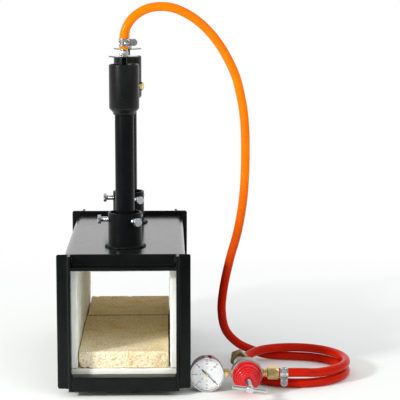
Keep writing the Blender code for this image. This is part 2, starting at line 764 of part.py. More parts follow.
def hose_clamp(name, steel, parent, location, toward, angle):
    """A worm-drive band. Its barrel lies across the hose, at an angle round it."""
    middle = axis_point(name + "_axis", parent, location, toward)
    half = CLAMP_WIDTH / 2
    ring = [
        (CLAMP_INNER, -half),
        (CLAMP_OUTER, -half),
        (CLAMP_OUTER, half),
        (CLAMP_INNER, half),
    ]
    band = piece(turned_mesh(name + "_band", ring, NARROW_STEPS * 2), steel, middle)
    saddle_foot = (CLAMP_INNER + CLAMP_OUTER) / 2
    saddle_middle = saddle_foot + CLAMP_SADDLE_DEPTH / 2
    barrel_middle = CLAMP_OUTER + CLAMP_BARREL_LIFT + CLAMP_BARREL_RADIUS
    side = axis_point(name + "_side", middle, (0, 0, 0), Z_AXIS, angle)
    outline = rectangle_outline(CLAMP_SADDLE_DEPTH, CLAMP_SADDLE_LENGTH)
    saddle = prism_mesh(name + "_saddle", outline, -half + CLAMP_WALL, half - CLAMP_WALL)
    barrel_half = CLAMP_BARREL_LENGTH / 2
    barrel = circle_outline(CLAMP_BARREL_RADIUS, NARROW_STEPS)
    bore = circle_outline(WORM_RADIUS + SEAT_GAP, NARROW_STEPS)
    at = (barrel_middle, 0, 0)
    across = -Y_AXIS
    fuse(band, helper(saddle, side, (saddle_middle, 0, 0)))
    body = prism_mesh(name + "_barrel", barrel, -barrel_half, barrel_half)
    fuse(band, helper(body, side, at, across))
    reach = barrel_half + OVERRUN
    cut(band, helper(prism_mesh(name + "_worm_hole", bore, -reach, reach), side, at, across))
    head_low = barrel_half + SEAT_GAP
    flats = hexagon_outline(WORM_HEAD_FLATS)
    head = prism_mesh(name + "_screw", flats, head_low, head_low + WORM_HEAD_HEIGHT)
    worm = [
        (0, -barrel_half),
        (WORM_RADIUS, -barrel_half),
        (WORM_RADIUS, head_low + WORM_HEAD_HEIGHT / 2),
        (0, head_low + WORM_HEAD_HEIGHT / 2),
    ]
    screw = piece(head, steel, side, at, across)
    fuse(screw, helper(turned_mesh(name + "_worm", worm, NARROW_STEPS), side, at, across))


def smooth_points(route, spacing):
    """Points about a spacing apart on the centripetal Catmull-Rom curve through the route."""
    route = [Vector(point) for point in route]
    before = 2 * route[0] - route[1]
    after = 2 * route[-1] - route[-2]
    knots = [before, *route, after]
    fine = []
    for p0, p1, p2, p3 in zip(knots, knots[1:], knots[2:], knots[3:]):
        steps = 24
        t = [0.0]
        for a, b in ((p0, p1), (p1, p2), (p2, p3)):
            t.append(t[-1] + math.sqrt((b - a).length))
        for i in range(steps):
            u = t[1] + (t[2] - t[1]) * i / steps
            a1 = p0.lerp(p1, (u - t[0]) / (t[1] - t[0]))
            a2 = p1.lerp(p2, (u - t[1]) / (t[2] - t[1]))
            a3 = p2.lerp(p3, (u - t[2]) / (t[3] - t[2]))
            b1 = a1.lerp(a2, (u - t[0]) / (t[2] - t[0]))
            b2 = a2.lerp(a3, (u - t[1]) / (t[3] - t[1]))
            fine.append(b1.lerp(b2, (u - t[1]) / (t[2] - t[1])))
    fine.append(route[-1])
    lengths = [0.0]
    for a, b in zip(fine, fine[1:]):
        lengths.append(lengths[-1] + (b - a).length)
    count = max(2, round(lengths[-1] / spacing))
    points = []
    k = 0
    for i in range(count + 1):
        target = lengths[-1] * i / count
        while k < len(fine) - 2 and lengths[k + 1] < target:
            k += 1
        share = (target - lengths[k]) / (lengths[k + 1] - lengths[k])
        points.append(fine[k].lerp(fine[k + 1], share))
    return points


def coil_height(angle):
    """Centre height of the hose at an angle: one layer, a smooth climb, then the next layer."""
    low = HOSE_RADIUS + COIL_GROUND_GAP
    climb = (COIL_CLIMB_FROM - angle) / (COIL_CLIMB_FROM - COIL_CLIMB_TO)
    climb = min(1, max(0, climb))
    return low + (HOSE_DIAMETER + COIL_LAYER_GAP) * climb * climb * (3 - 2 * climb)


def coil_point(angle):
    turn = math.radians(angle)
    x = COIL_X + COIL_RADIUS * math.cos(turn)
    y = COIL_Y + COIL_RADIUS * math.sin(turn)
    return Vector((x, y, coil_height(angle)))


def coil_heading(angle):
    """The way the hose runs at an angle: clockwise, seen from above."""
    turn = math.radians(angle)
    return Vector((math.sin(turn), -math.cos(turn), 0))


def hermite(start, start_way, end, end_way, steps):
    """Points between two places along a cubic that leaves and arrives along the given ways."""
    reach = (end - start).length
    points = []
    for i in range(1, steps + 1):
        t = i / steps
        a = 2 * t**3 - 3 * t**2 + 1
        b = t**3 - 2 * t**2 + t
        c = 3 * t**2 - 2 * t**3
        d = t**3 - t**2
        points.append(a * start + b * reach * start_way + c * end + d * reach * end_way)
    return points


def coil_points():
    """Straight lead-in, the turns by formula, and the run-out to the regulator's cuff."""
    first = coil_point(COIL_START_ANGLE)
    lead = first - HOSE_DIAMETER * coil_heading(COIL_START_ANGLE)
    turns = (COIL_START_ANGLE - COIL_LEAVE_ANGLE) / 360
    steps = round(turns * COIL_TURN_POINTS)
    sweep = COIL_LEAVE_ANGLE - COIL_START_ANGLE
    loop = [coil_point(COIL_START_ANGLE + sweep * i / steps) for i in range(steps + 1)]
    end_x = REGULATOR_X + OUTLET_CUFF_END + SEAT_GAP
    end = Vector((end_x, REGULATOR_Y + PORT_DEPTH, REGULATOR_Z))
    straight = end + HOSE_DIAMETER * X_AXIS
    run_out = hermite(loop[-1], coil_heading(COIL_LEAVE_ANGLE), straight, -X_AXIS, 3)
    return [lead, *loop, *run_out, end]


def least_self_gap(points, radius):
    """The least space between stretches of a tube that are further apart along it than half a turn."""
    apart = COIL_TURN_POINTS // 2
    fine = smooth_points(points, radius / 2)
    spacing = (fine[1] - fine[0]).length
    skip = round(apart * (points[2] - points[1]).length / spacing)
    pairs = ((fine[i] - p).length for i in range(skip, len(fine)) for p in fine[: i - skip])
    return min(pairs) - 2 * radius


def gas_hose(rubber):
    coil = coil_points()
    tube_along("gas_hose_coil", coil, HOSE_RADIUS, 6, rubber)
    print(f"least gap between the coil's turns: {least_self_gap(coil, HOSE_RADIUS) * 1000:.2f} mm")
    start = Vector((0, FRONT_BURNER_Y, SHELL_TOP + CUFF_TOP + SEAT_GAP))
    heading = coil_heading(COIL_START_ANGLE)
    end = coil[0] - SEAT_GAP * heading
    before_end = end - HOSE_DIAMETER * heading
    run = smooth_points([start, *HOSE_ROUTE, before_end], HOSE_POINT_SPACING)
    square_start = start + HOSE_RADIUS / 2 * Z_AXIS
    points = [start, square_start, *run[1:], end]
    tube_along("gas_hose_run", points, HOSE_RADIUS, 10, rubber)


# Regulator and gauge


def regulator_body(zinc, axis):
    profile = [
        (0, -BODY_DEPTH),
        (BODY_BACK_RADIUS, -BODY_DEPTH),
        ((BODY_BACK_RADIUS + BODY_RADIUS) / 2, -BODY_DEPTH + BODY_SHOULDER / 4),
        (BODY_RADIUS, -BODY_DEPTH + BODY_SHOULDER),
        (BODY_RADIUS, 0),
        (0, 0),
    ]
    body = piece(turned_mesh("regulator_body", profile, WIDE_STEPS), zinc, axis)
    outline = circle_outline(SIDE_BOSS_RADIUS, NARROW_STEPS)
    at = (0, 0, -PORT_DEPTH)
    for label, way in (("outlet_boss", X_AXIS), ("gauge_boss", -X_AXIS)):
        low = BODY_BACK_RADIUS - SIDE_BOSS_RADIUS
        fuse(body, helper(prism_mesh(label, outline, low, SIDE_BOSS_REACH), axis, at, way))
    back = (INLET_OFFSET_X, INLET_OFFSET_Z, -BODY_DEPTH)
    boss = circle_outline(INLET_BOSS_RADIUS, NARROW_STEPS)
    mesh = prism_mesh("inlet_boss", boss, -BODY_SHOULDER, INLET_BOSS_LENGTH)
    fuse(body, helper(mesh, axis, back, -Z_AXIS))


def regulator_bonnet(red, axis):
    """A cap over the spring, in rings of falling size, tapped in front for the adjusting screw."""
    profile = []
    low = BONNET_FOOT
    for radius_share, top_share in zip(BONNET_RADIUS_SHARES, BONNET_TOP_SHARES):
        radius = BONNET_RADIUS * radius_share
        top = BONNET_HEIGHT * top_share
        profile += [(radius, low), (radius, top - BONNET_EDGE), (radius - BONNET_EDGE, top)]
        low = top
    bore = SCREW_RADIUS + SEAT_GAP
    room = BONNET_RADIUS * BONNET_RADIUS_SHARES[1] - BONNET_WALL
    room_top = BONNET_HEIGHT * BONNET_TOP_SHARES[1] - BONNET_WALL
    button_room = BUTTON_RADIUS + BONNET_WALL / 2
    profile += [
        (bore + BONNET_EDGE, BONNET_HEIGHT),
        (bore, BONNET_HEIGHT - BONNET_EDGE),
        (bore, BUTTON_ROOM_TOP),
        (button_room, BUTTON_ROOM_TOP),
        (button_room, room_top + BONNET_WALL),
        (room, room_top),
        (room, BONNET_FOOT),
    ]
    piece(turned_mesh("regulator_bonnet", profile, WIDE_STEPS), red, axis)


def pressure_parts(finishes, axis):
    """Diaphragm, spring, button and adjusting screw, in the order that they push on each other."""
    plate = [
        (0, 0),
        (DIAPHRAGM_RADIUS, 0),
        (DIAPHRAGM_RADIUS, DIAPHRAGM_THICKNESS),
        (0, DIAPHRAGM_THICKNESS),
    ]
    mesh = turned_mesh("diaphragm", plate, WIDE_STEPS)
    piece(mesh, finishes["rubber"], axis, (0, 0, SEAT_GAP))
    seat = BONNET_FOOT + SPRING_WIRE
    count = SPRING_CURLS * SPRING_CURL_POINTS
    curls = []
    for i in range(count + 1):
        turn = 2 * math.pi * i / SPRING_CURL_POINTS
        rise = seat + SPRING_PITCH * i / SPRING_CURL_POINTS
        curls.append((SPRING_RADIUS * math.cos(turn), SPRING_RADIUS * math.sin(turn), rise))
    spring = tube_along("pressure_spring", curls, SPRING_WIRE, 6, finishes["steel"])
    spring.parent = axis
    print(f"least gap between the spring's curls: {(SPRING_PITCH - 2 * SPRING_WIRE) * 1000:.2f} mm")
    carrier = axis_point("adjusting_carrier", axis, (0, 0, SCREW_TIP))
    cup = SCREW_RADIUS + SEAT_GAP
    button = [
        (0, -BUTTON_THICKNESS - SEAT_GAP),
        (BUTTON_RADIUS, -BUTTON_THICKNESS - SEAT_GAP),
        (BUTTON_RADIUS, -SEAT_GAP),
        (BUTTON_CUP_RADIUS, BUTTON_THICKNESS / 2),
        (cup, BUTTON_THICKNESS / 2),
        (cup, -SEAT_GAP),
        (0, -SEAT_GAP),
    ]
    piece(turned_mesh("spring_button", button, NARROW_STEPS * 2), finishes["steel"], carrier)
    hub_low = SCREW_REACH - SCREW_TIP - TEE_HUB_LENGTH
    hub_high = SCREW_REACH - SCREW_TIP
    screw = [
        (0, 0),
        (SCREW_RADIUS * 0.7, 0),
        (SCREW_RADIUS, SCREW_RADIUS / 3),
        (SCREW_RADIUS, hub_low),
        (TEE_HUB_RADIUS, hub_low + BONNET_EDGE),
        (TEE_HUB_RADIUS, hub_high - BONNET_EDGE),
        (TEE_HUB_RADIUS - BONNET_EDGE, hub_high),
        (0, hub_high),
    ]
    mesh = turned_mesh("adjusting_screw", screw, NARROW_STEPS)
    tee = piece(mesh, finishes["steel"], carrier)
    half = TEE_BAR_LENGTH / 2
    bar = [
        (0, -half),
        (TEE_BAR_RADIUS * 0.6, -half),
        (TEE_BAR_RADIUS, -half + TEE_BAR_RADIUS / 2),
        (TEE_BAR_RADIUS, half - TEE_BAR_RADIUS / 2),
        (TEE_BAR_RADIUS * 0.6, half),
        (0, half),
    ]
    turn = math.radians(TEE_BAR_ANGLE)
    way = (math.cos(turn), math.sin(turn), 0)
    at = (0, 0, (hub_low + hub_high) / 2)
    fuse(tee, helper(turned_mesh("tee_bar", bar, NARROW_STEPS), carrier, at, way))


def outlet_fittings(brass, axis):
    """The brass hose tail on the regulator's outlet, and the nut over it."""
    at = (0, 0, -PORT_DEPTH)
    foot = OUTLET_BARB_FOOT - BARB_COLLAR_HEIGHT
    barb = barb_profile(OUTLET_NECK_RADIUS, OUTLET_BARB_LENGTH)
    tail = [(BARB_BORE, OUTLET_FOOT), (OUTLET_NECK_RADIUS, OUTLET_FOOT)]
    tail += [(radius, foot + height) for radius, height in barb]
    piece(turned_mesh("outlet_hose_tail", tail, NARROW_STEPS), brass, axis, at, X_AXIS)
    outline = hexagon_outline(OUTLET_NUT_FLATS)
    mesh = prism_mesh("outlet_nut", outline, OUTLET_NUT_FOOT, OUTLET_BARB_FOOT)
    nut = piece(mesh, brass, axis, at, X_AXIS)
    hole = circle_outline(OUTLET_NECK_RADIUS + SEAT_GAP, NARROW_STEPS)
    low = OUTLET_NUT_FOOT - OVERRUN
    bore = prism_mesh("outlet_nut_hole", hole, low, OUTLET_BARB_FOOT + OVERRUN)
    cut(nut, helper(bore, axis, at, X_AXIS))


def inlet_fittings(brass, axis):
    """The inlet stem on the regulator's back, and the nut that turns on it behind the stem's head."""
    at = (INLET_OFFSET_X, INLET_OFFSET_Z, -BODY_DEPTH - INLET_BOSS_LENGTH)
    top = SEAT_GAP + INLET_STEM_LENGTH
    head = top - INLET_HEAD_LENGTH
    stem = [
        (INLET_BORE, SEAT_GAP),
        (INLET_STEM_RADIUS, SEAT_GAP),
        (INLET_STEM_RADIUS, head),
        (INLET_HEAD_RADIUS, head),
        (INLET_HEAD_RADIUS, head + INLET_HEAD_LENGTH / 3),
        (INLET_STEM_RADIUS / 2, top),
        (INLET_BORE, top),
    ]
    piece(turned_mesh("inlet_stem", stem, NARROW_STEPS * 2), brass, axis, at, -Z_AXIS)
    high = head - SEAT_GAP
    low = high - INLET_NUT_LENGTH
    outline = hexagon_outline(INLET_NUT_FLATS)
    nut = piece(prism_mesh("inlet_nut", outline, low, high), brass, axis, at, -Z_AXIS)
    hole = circle_outline(INLET_STEM_RADIUS + SEAT_GAP, NARROW_STEPS * 2)
    bore = prism_mesh("inlet_nut_hole", hole, low - OVERRUN, high + OVERRUN)
    cut(nut, helper(bore, axis, at, -Z_AXIS))


def regulator(finishes):
    place_at = (REGULATOR_X, REGULATOR_Y, REGULATOR_Z)
    axis = axis_point("regulator_axis", None, place_at, -Y_AXIS)
    regulator_body(finishes["zinc"], axis)
    regulator_bonnet(finishes["red"], axis)
    pressure_parts(finishes, axis)
    outlet_fittings(finishes["brass"], axis)
    inlet_fittings(finishes["brass"], axis)
    at = (OUTLET_CUFF_FOOT, 0, -PORT_DEPTH)
    length = OUTLET_CUFF_END - OUTLET_CUFF_FOOT
    hose_cuff("hose_cuff_regulator", finishes["hose"], axis, at, X_AXIS, length)
    middle = (OUTLET_CUFF_FOOT + length / 2, 0, -PORT_DEPTH)
    hose_clamp("regulator_clamp", finishes["steel"], axis, middle, X_AXIS, REGULATOR_CLAMP_ANGLE)
    return axis


def needle_outline():
    """A pointer along +X with a round hub and a short broad tail."""
    half = NEEDLE_WIDTH / 2
    hub = [
        (NEEDLE_HUB_RADIUS * math.cos(a), NEEDLE_HUB_RADIUS * math.sin(a))
        for a in (math.radians(d) for d in (30, 75, 105, 150, 210, 255, 285, 330))
    ]
    tip = [(NEEDLE_TIP, -half / 4), (NEEDLE_TIP, half / 4)]
    tail = [(-NEEDLE_TAIL, half), (-NEEDLE_TAIL, -half)]
    return tip + hub[:4] + tail + hub[4:]


def gauge(finishes):
    axis = axis_point("gauge_axis", None, (GAUGE_X, GAUGE_Y, REGULATOR_Z), -Y_AXIS)
    recess = GAUGE_RADIUS - GAUGE_RIM
    case = [
        (0, -GAUGE_DEPTH),
        (GAUGE_CASE_RADIUS - GAUGE_BACK_EDGE, -GAUGE_DEPTH),
        (GAUGE_CASE_RADIUS, -GAUGE_DEPTH + GAUGE_BACK_EDGE),
        (GAUGE_CASE_RADIUS, -GAUGE_BEZEL),
        (GAUGE_RADIUS, -GAUGE_BEZEL),
        (GAUGE_RADIUS, -BONNET_EDGE),
        (GAUGE_RADIUS - BONNET_EDGE, 0),
        (recess, 0),
        (recess, -GAUGE_RECESS),
        (0, -GAUGE_RECESS),
    ]
    piece(turned_mesh("gauge_case", case, WIDE_STEPS), finishes["maroon"], axis)
    dial_foot = -GAUGE_RECESS + SEAT_GAP
    dial_top = dial_foot + DIAL_THICKNESS
    needle_foot = dial_top + NEEDLE_LIFT
    dial = [
        (0, dial_foot),
        (recess - SEAT_GAP, dial_foot),
        (recess - SEAT_GAP, dial_top),
        (DIAL_POST_RADIUS, dial_top),
        (DIAL_POST_RADIUS, needle_foot - SEAT_GAP),
        (0, needle_foot - SEAT_GAP),
    ]
    piece(turned_mesh("gauge_dial", dial, WIDE_STEPS), finishes["dial"], axis)
    mesh = prism_mesh("gauge_needle", needle_outline(), 0, NEEDLE_THICKNESS)
    pivot = (0, 0, needle_foot)
    piece(mesh, finishes["black"], axis, pivot, Z_AXIS, NEEDLE_ZERO_ANGLE)
    lens_top = -LENS_SINK
    lens = [
        (0, lens_top - LENS_THICKNESS),
        (recess - SEAT_GAP, lens_top - LENS_THICKNESS),
        (recess - SEAT_GAP, lens_top),
        (0, lens_top),
    ]
    piece(turned_mesh("gauge_lens", lens, WIDE_STEPS), finishes["glass"], axis)


def gauge_stem(brass, axis):
    """The square-shouldered stem between the regulator's side and the gauge's case."""
    reach = REGULATOR_X - GAUGE_X - GAUGE_CASE_RADIUS - SEAT_GAP
    foot = SIDE_BOSS_REACH + SEAT_GAP
    at = (0, 0, -PORT_DEPTH)
    outline = hexagon_outline(STEM_FLATS)
    stem = piece(prism_mesh("gauge_stem", outline, foot, reach), brass, axis, at, -X_AXIS)
    edge = stem.modifiers.new("chamfer", "BEVEL")
    edge.width = BONNET_EDGE / 2


def make_finishes():
    return {
        "black": finish("black_paint", (0.012, 0.013, 0.013), 0.32, 0.0),
        "steel": finish("plain_steel", (0.55, 0.55, 0.54), 0.35, 1.0),
        "zinc": finish("zinc_plate", (0.62, 0.65, 0.70), 0.30, 1.0),
        "plate": finish("bright_plate", (0.75, 0.76, 0.77), 0.25, 1.0),
        "brass": finish("brass", (0.66, 0.44, 0.16), 0.32, 1.0),
        "fibre": finish("ceramic_fibre", (0.80, 0.82, 0.70), 0.95, 0.0),
        "brick": finish("fire_brick", (0.83, 0.76, 0.50), 0.9, 0.0),
        "hose": finish("orange_hose", (0.90, 0.14, 0.01), 0.35, 0.0),
        "red": finish("red_paint", (0.62, 0.01, 0.02), 0.3, 0.0),
        "maroon": finish("maroon_paint", (0.12, 0.006, 0.012), 0.25, 0.0),
        "rubber": finish("black_rubber", (0.02, 0.02, 0.02), 0.7, 0.0),
        "dial": finish("dial_white", (0.88, 0.88, 0.85), 0.6, 0.0),
        "glass": finish("gauge_glass", (0.9, 0.95, 0.95), 0.05, 0.0),
    }


def clear_scene():
    for obj in list(bpy.data.objects):
        bpy.data.objects.remove(obj, do_unlink=True)


def main():
    clear_scene()
    finishes = make_finishes()
    end_frame("front_frame", finishes["black"], -1)
    end_frame("rear_frame", finishes["black"], 1)
    along = body_shell(finishes["black"])
    roof = lining(finishes["fibre"], along)
    shell = bpy.data.objects["body_shell"]
    for name, y in (("front_port", FRONT_BURNER_Y), ("rear_port", REAR_BURNER_Y)):
        port = burner_port(name, y)
        cut(shell, port)
        cut(roof, port)
    hearth(finishes["brick"])
    stand = HALF_LENGTH - RUNNER_INSET
    runner("front_runner", finishes["black"], -stand)
    runner("rear_runner", finishes["black"], stand)
    front = burner("front", FRONT_BURNER_Y, finishes, FRONT_BELL_BOLT_ANGLE, "zinc")
    burner("rear", REAR_BURNER_Y, finishes, REAR_BELL_BOLT_ANGLE, "brass")
    length = CUFF_TOP - CUFF_FOOT
    hose_cuff("hose_cuff_burner", finishes["hose"], front, (0, 0, CUFF_FOOT), Z_AXIS, length)
    middle = (0, 0, CUFF_FOOT + length / 2)
    hose_clamp("burner_clamp", finishes["steel"], front, middle, Z_AXIS, BURNER_CLAMP_ANGLE)
    axis = regulator(finishes)
    gauge(finishes)
    gauge_stem(finishes["brass"], axis)
    gas_hose(finishes["hose"])


main()
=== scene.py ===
# %% [markdown]
# # A gas forge, dressed
#
# The forge is a steel box open at both ends. Ceramic fibre lines it, two bricks make its
# hearth, and two burners stand on its roof. An orange hose climbs down from the front
# burner, lies in two turns on the floor and ends at a regulator with a gauge.
#
# The solids come packed from CAD and stay fixed. This script gives them their surfaces:
# each shape is worked out with numpy, and each material is built from nodes.

# %% Load the frame
import json
import math
import bmesh
import bpy
import numpy as np
from mathutils import Matrix, Vector


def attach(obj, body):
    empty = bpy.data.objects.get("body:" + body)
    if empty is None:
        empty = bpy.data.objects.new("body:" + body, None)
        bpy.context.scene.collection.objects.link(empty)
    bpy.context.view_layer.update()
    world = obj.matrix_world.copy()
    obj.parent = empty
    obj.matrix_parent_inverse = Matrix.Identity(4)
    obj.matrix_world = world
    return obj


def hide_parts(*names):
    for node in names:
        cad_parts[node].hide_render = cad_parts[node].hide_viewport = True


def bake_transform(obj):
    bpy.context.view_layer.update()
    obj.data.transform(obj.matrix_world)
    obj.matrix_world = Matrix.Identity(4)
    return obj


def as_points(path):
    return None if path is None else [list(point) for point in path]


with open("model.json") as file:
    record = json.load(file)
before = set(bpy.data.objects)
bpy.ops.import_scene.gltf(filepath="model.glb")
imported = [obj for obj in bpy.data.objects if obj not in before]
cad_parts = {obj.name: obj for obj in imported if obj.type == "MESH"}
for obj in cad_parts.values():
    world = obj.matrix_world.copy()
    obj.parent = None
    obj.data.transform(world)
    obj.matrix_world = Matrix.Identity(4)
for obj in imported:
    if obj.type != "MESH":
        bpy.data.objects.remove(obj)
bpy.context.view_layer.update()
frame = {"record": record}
MM = 0.001

# %% [markdown]
# ## From arrays to meshes
#
# A surface with two parameters is a grid of points. It may close round along its rows or its
# columns, and it may have a cap on each end. A piece is one or more such surfaces in one
# mesh. Its corners are shaded smooth, apart from edges that turn more than a limit.


# %% Surfaces and pieces
def surface(points, ring_rows=False, ring_columns=True, capped=False):
    """A grid (rows, columns, 3) with the numbers of each face's corners."""
    rows, columns = points.shape[:2]
    i = np.arange(rows if ring_rows else rows - 1)
    j = np.arange(columns if ring_columns else columns - 1)
    i, j = [a.ravel() for a in np.meshgrid(i, j, indexing="ij")]
    down, right = (i + 1) % rows, (j + 1) % columns
    quads = [i * columns + j, down * columns + j, down * columns + right, i * columns + right]
    faces = np.stack(quads, axis=1).tolist()
    if capped:
        faces += [list(range(columns)), list(range((rows - 1) * columns, rows * columns))]
    return points.reshape(-1, 3), faces


SHARP_EDGE = math.radians(35)


def mesh_piece(name, surfaces):
    """One object of several surfaces. Doubles are merged, then all faces turned outward."""
    points, faces, first = [], [], 0
    for corners, rings in surfaces:
        points.append(corners)
        faces += [[first + k for k in ring] for ring in rings]
        first += len(corners)
    mesh = bpy.data.meshes.new(name)
    mesh.from_pydata(np.concatenate(points).tolist(), [], faces)
    work = bmesh.new()
    work.from_mesh(mesh)
    bmesh.ops.remove_doubles(work, verts=work.verts, dist=1e-6)
    bmesh.ops.recalc_face_normals(work, faces=work.faces)
    work.to_mesh(mesh)
    work.free()
    mesh.shade_smooth()
    mesh.set_sharp_from_angle(angle=SHARP_EDGE)
    piece = bpy.data.objects.new(name, mesh)
    bpy.context.scene.collection.objects.link(piece)
    return piece


# %% [markdown]
# Each new piece rides on the body of the CAD node that it stands for, and hides that node. The
# record says which body holds which node, so the piece only has to name the node.

# %% From a piece to its body
bodies = frame["record"]["behaviour"]["bodies"]
home = {node: body for body, members in bodies.items() for node in members}
finishes = {}
stand_ins = {}


def dress(piece, finish, *stands_for):
    """A piece's material, the nodes that it replaces and the body that it rides on."""
    material, slot = finishes[finish]
    piece.data.materials.clear()
    piece.data.materials.append(material)
    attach(piece, home[stands_for[0]])
    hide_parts(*stands_for)
    stand_ins.setdefault(stands_for[0], []).append(piece.name)


def make(name, surfaces, finish, *stands_for):
    """A finished piece from its surfaces."""
    dress(mesh_piece(name, surfaces), finish, *stands_for)


# %% [markdown]
# ## Turned pieces
#
# Most of a burner and a regulator is turned on a lathe. The drawing of a turned piece is a
# short list of corners, and a lathe tool never leaves a perfectly sharp one, so each corner
# is rounded first: two points where the curve meets its sides, and a curve between them. Then
# the profile is spun about its axis as one array. A hexagon is the same surface with its
# radius held back to the six flats, which also gives the curved chamfer that real nuts show.
#
# Shapes are drawn in millimetres, as in a workshop. The step that puts a shape in its place
# also turns it into metres.


# %% Profiles and spins
def rounded(corners, radius, steps=4):
    """A polyline whose inner corners are quadratic curves that start radius away from them."""
    p = np.asarray(corners, float)
    middle, before, after = p[1:-1], p[:-2], p[2:]
    far = np.broadcast_to(np.asarray(radius, float).reshape(-1, 1), (len(middle), 1))

    def toward(way):
        length = np.linalg.norm(way, axis=1, keepdims=True)
        return middle + way / length * np.minimum(far, length * 0.48)

    start, end = toward(before - middle), toward(after - middle)
    t = np.linspace(0, 1, steps)[None, :, None]
    arcs = (1 - t) ** 2 * start[:, None] + 2 * t * (1 - t) * middle[:, None] + t**2 * end[:, None]
    return np.concatenate([p[:1], arcs.reshape(-1, p.shape[1]), p[-1:]])


def placed(points, at, toward=(0, 0, 1), turn=0):
    """Millimetre points in a shape's own frame, turned about its Z, aimed and moved, in metres."""
    aim = Vector((0, 0, 1)).rotation_difference(Vector(toward)).to_matrix()
    matrix = np.array(aim @ Matrix.Rotation(math.radians(turn), 3, "Z"))
    return (points @ matrix.T + np.asarray(at, float)) * MM


def flat_radius(flats, angle):
    """Distance from a hexagon's middle to its side, which is flats across, at an angle."""
    return flats / 2 / np.cos((angle + np.pi / 6) % (np.pi / 3) - np.pi / 6)


def turned(corners, at, toward=(0, 0, 1), radius=0.4, steps=72, flats=None, wobble=None, turn=0):
    """A (radius, height) profile spun about its axis. wobble(radius, angle, height) is added to
    the radius, and flats draws it in to a hexagon."""
    profile = rounded(corners, radius) if np.any(radius) else np.asarray(corners, float)
    angle = np.arange(steps) * 2 * np.pi / steps
    r = profile[:, 0, None] + np.zeros(steps)
    z = profile[:, 1, None] + np.zeros(steps)
    if wobble:
        r = np.where(r > 0, r + wobble(r, angle[None, :], z), r)
    if flats:
        r = np.minimum(r, flat_radius(flats, angle)[None, :])
    grid = np.stack([r * np.cos(angle), r * np.sin(angle), z], axis=-1)
    return surface(placed(grid, at, toward, turn))


def sleeve(inner, outer, low, high):
    """The profile of a ring. It starts and ends on the middle of its inner wall."""
    half = (low + high) / 2
    return [(inner, half), (inner, low), (outer, low), (outer, high), (inner, high), (inner, half)]


def nut(flats, hole, low, high, at, toward=(0, 0, 1), turn=0, edge=0.8):
    """A hexagon with its corners broken by a cone at each end."""
    corner, face, half = flats / math.sqrt(3), flats / 2 * 0.97, (low + high) / 2
    profile = [
        (hole, half), (hole, low + 0.5), (hole + 0.5, low), (face, low), (corner, low + edge),
        (corner, high - edge), (face, high), (hole + 0.5, high), (hole, high - 0.5), (hole, half),
    ]
    return turned(profile, at, toward, 0, 72, flats, turn=turn)


def hex_head(flats, low, high, at, toward, turn=0):
    """A bolt's head: a round washer face under it, six flats, and a cone on top."""
    corner, face = flats / math.sqrt(3), flats * 0.47
    profile = [
        (0, low), (face, low), (face, low + 0.35), (corner * 0.96, low + 0.4), (corner, low + 0.8),
        (corner, high - 0.12 * corner), (face, high), (0, high),
    ]
    return turned(profile, at, toward, 0, 72, flats, turn=turn)


THREAD_SIDES = 24
ROWS_A_PITCH = 6


def thread(radius, low, high, pitch, at, toward=(0, 0, 1), depth=0.45, bore=0):
    """A screw thread: the radius rises and falls once a pitch, and the crest climbs on its way
    round."""
    rows = round((high - low) / pitch * ROWS_A_PITCH) + 1
    height = np.linspace(low, high, rows)
    profile = np.stack([np.full(rows, radius - depth / 2), height], axis=1)

    def crest(r, angle, z):
        phase = (z - low) / pitch - angle / (2 * np.pi)
        return np.where(r > bore + depth, depth * (np.abs(2 * (phase % 1) - 1) - 0.5), 0)

    ends = [(bore, high), (bore, low)] if bore else [(0, high)]
    return turned([(bore, low), *profile, *ends], at, toward, 0, THREAD_SIDES, wobble=crest)


# %% [markdown]
# ## Bars
#
# Angle iron, channel, plate and a gauge's needle are all one section carried along a line.
# Rolled steel has round toes and a wide fillet in its root, so each corner of the section gets
# its own radius. The section is drawn in a little at both ends, which breaks the end edges.


# %% Sections along a line
def ring_of(corners, radius, steps=4):
    """A closed outline with each corner rounded."""
    p = np.asarray(corners, float)
    return rounded(np.concatenate([p[-1:], p, p[:1]]), radius, steps)[1:-1]


def bar(section, at, across, up, along, length, radius=0.4, spacing=10, edge=0.4, shape=None):
    """A section, drawn anticlockwise, carried along a line: at + x across + y up + w along. Its
    outline is drawn in by edge at both ends."""
    outline = ring_of(section, radius)
    way = np.roll(outline, -1, axis=0) - np.roll(outline, 1, axis=0)
    outward = np.stack([way[:, 1], -way[:, 0]], axis=1) / np.linalg.norm(way, axis=1, keepdims=True)
    stations = np.array([0, *np.linspace(edge, length - edge, max(2, round(length / spacing))), length])
    inset = np.where((stations == 0) | (stations == length), edge, 0)
    flat = outline - inset[:, None, None] * outward
    down = np.broadcast_to(stations[:, None, None], (*flat.shape[:2], 1))
    grid = np.concatenate([flat, down], axis=-1) @ np.array([across, up, along], float) + at
    return surface((shape(grid) if shape else grid) * MM, capped=True)


BOX_MIDDLE = (0, 128)


def kept_in(points, half, radius):
    """Points held inside a rectangle with round corners in X and Z, about the box's middle."""
    flat = points[..., [0, 2]] - BOX_MIDDLE
    limit = np.array(half, float) - radius
    core = np.clip(flat, -limit, limit)
    way = flat - core
    far = np.maximum(np.linalg.norm(way, axis=-1, keepdims=True), 1e-9)
    flat = core + way * np.minimum(1, radius / far) + BOX_MIDDLE
    return np.stack([flat[..., 0], points[..., 1], flat[..., 1]], axis=-1)


# %% [markdown]
# ## Blocks
#
# A small block is a sphere pulled apart: its eight octants move out to the corners, and flat
# faces open between them. A large rough block, such as a brick, is six dense grids whose
# points are drawn in round the edges, and then pushed in and out by slow waves.


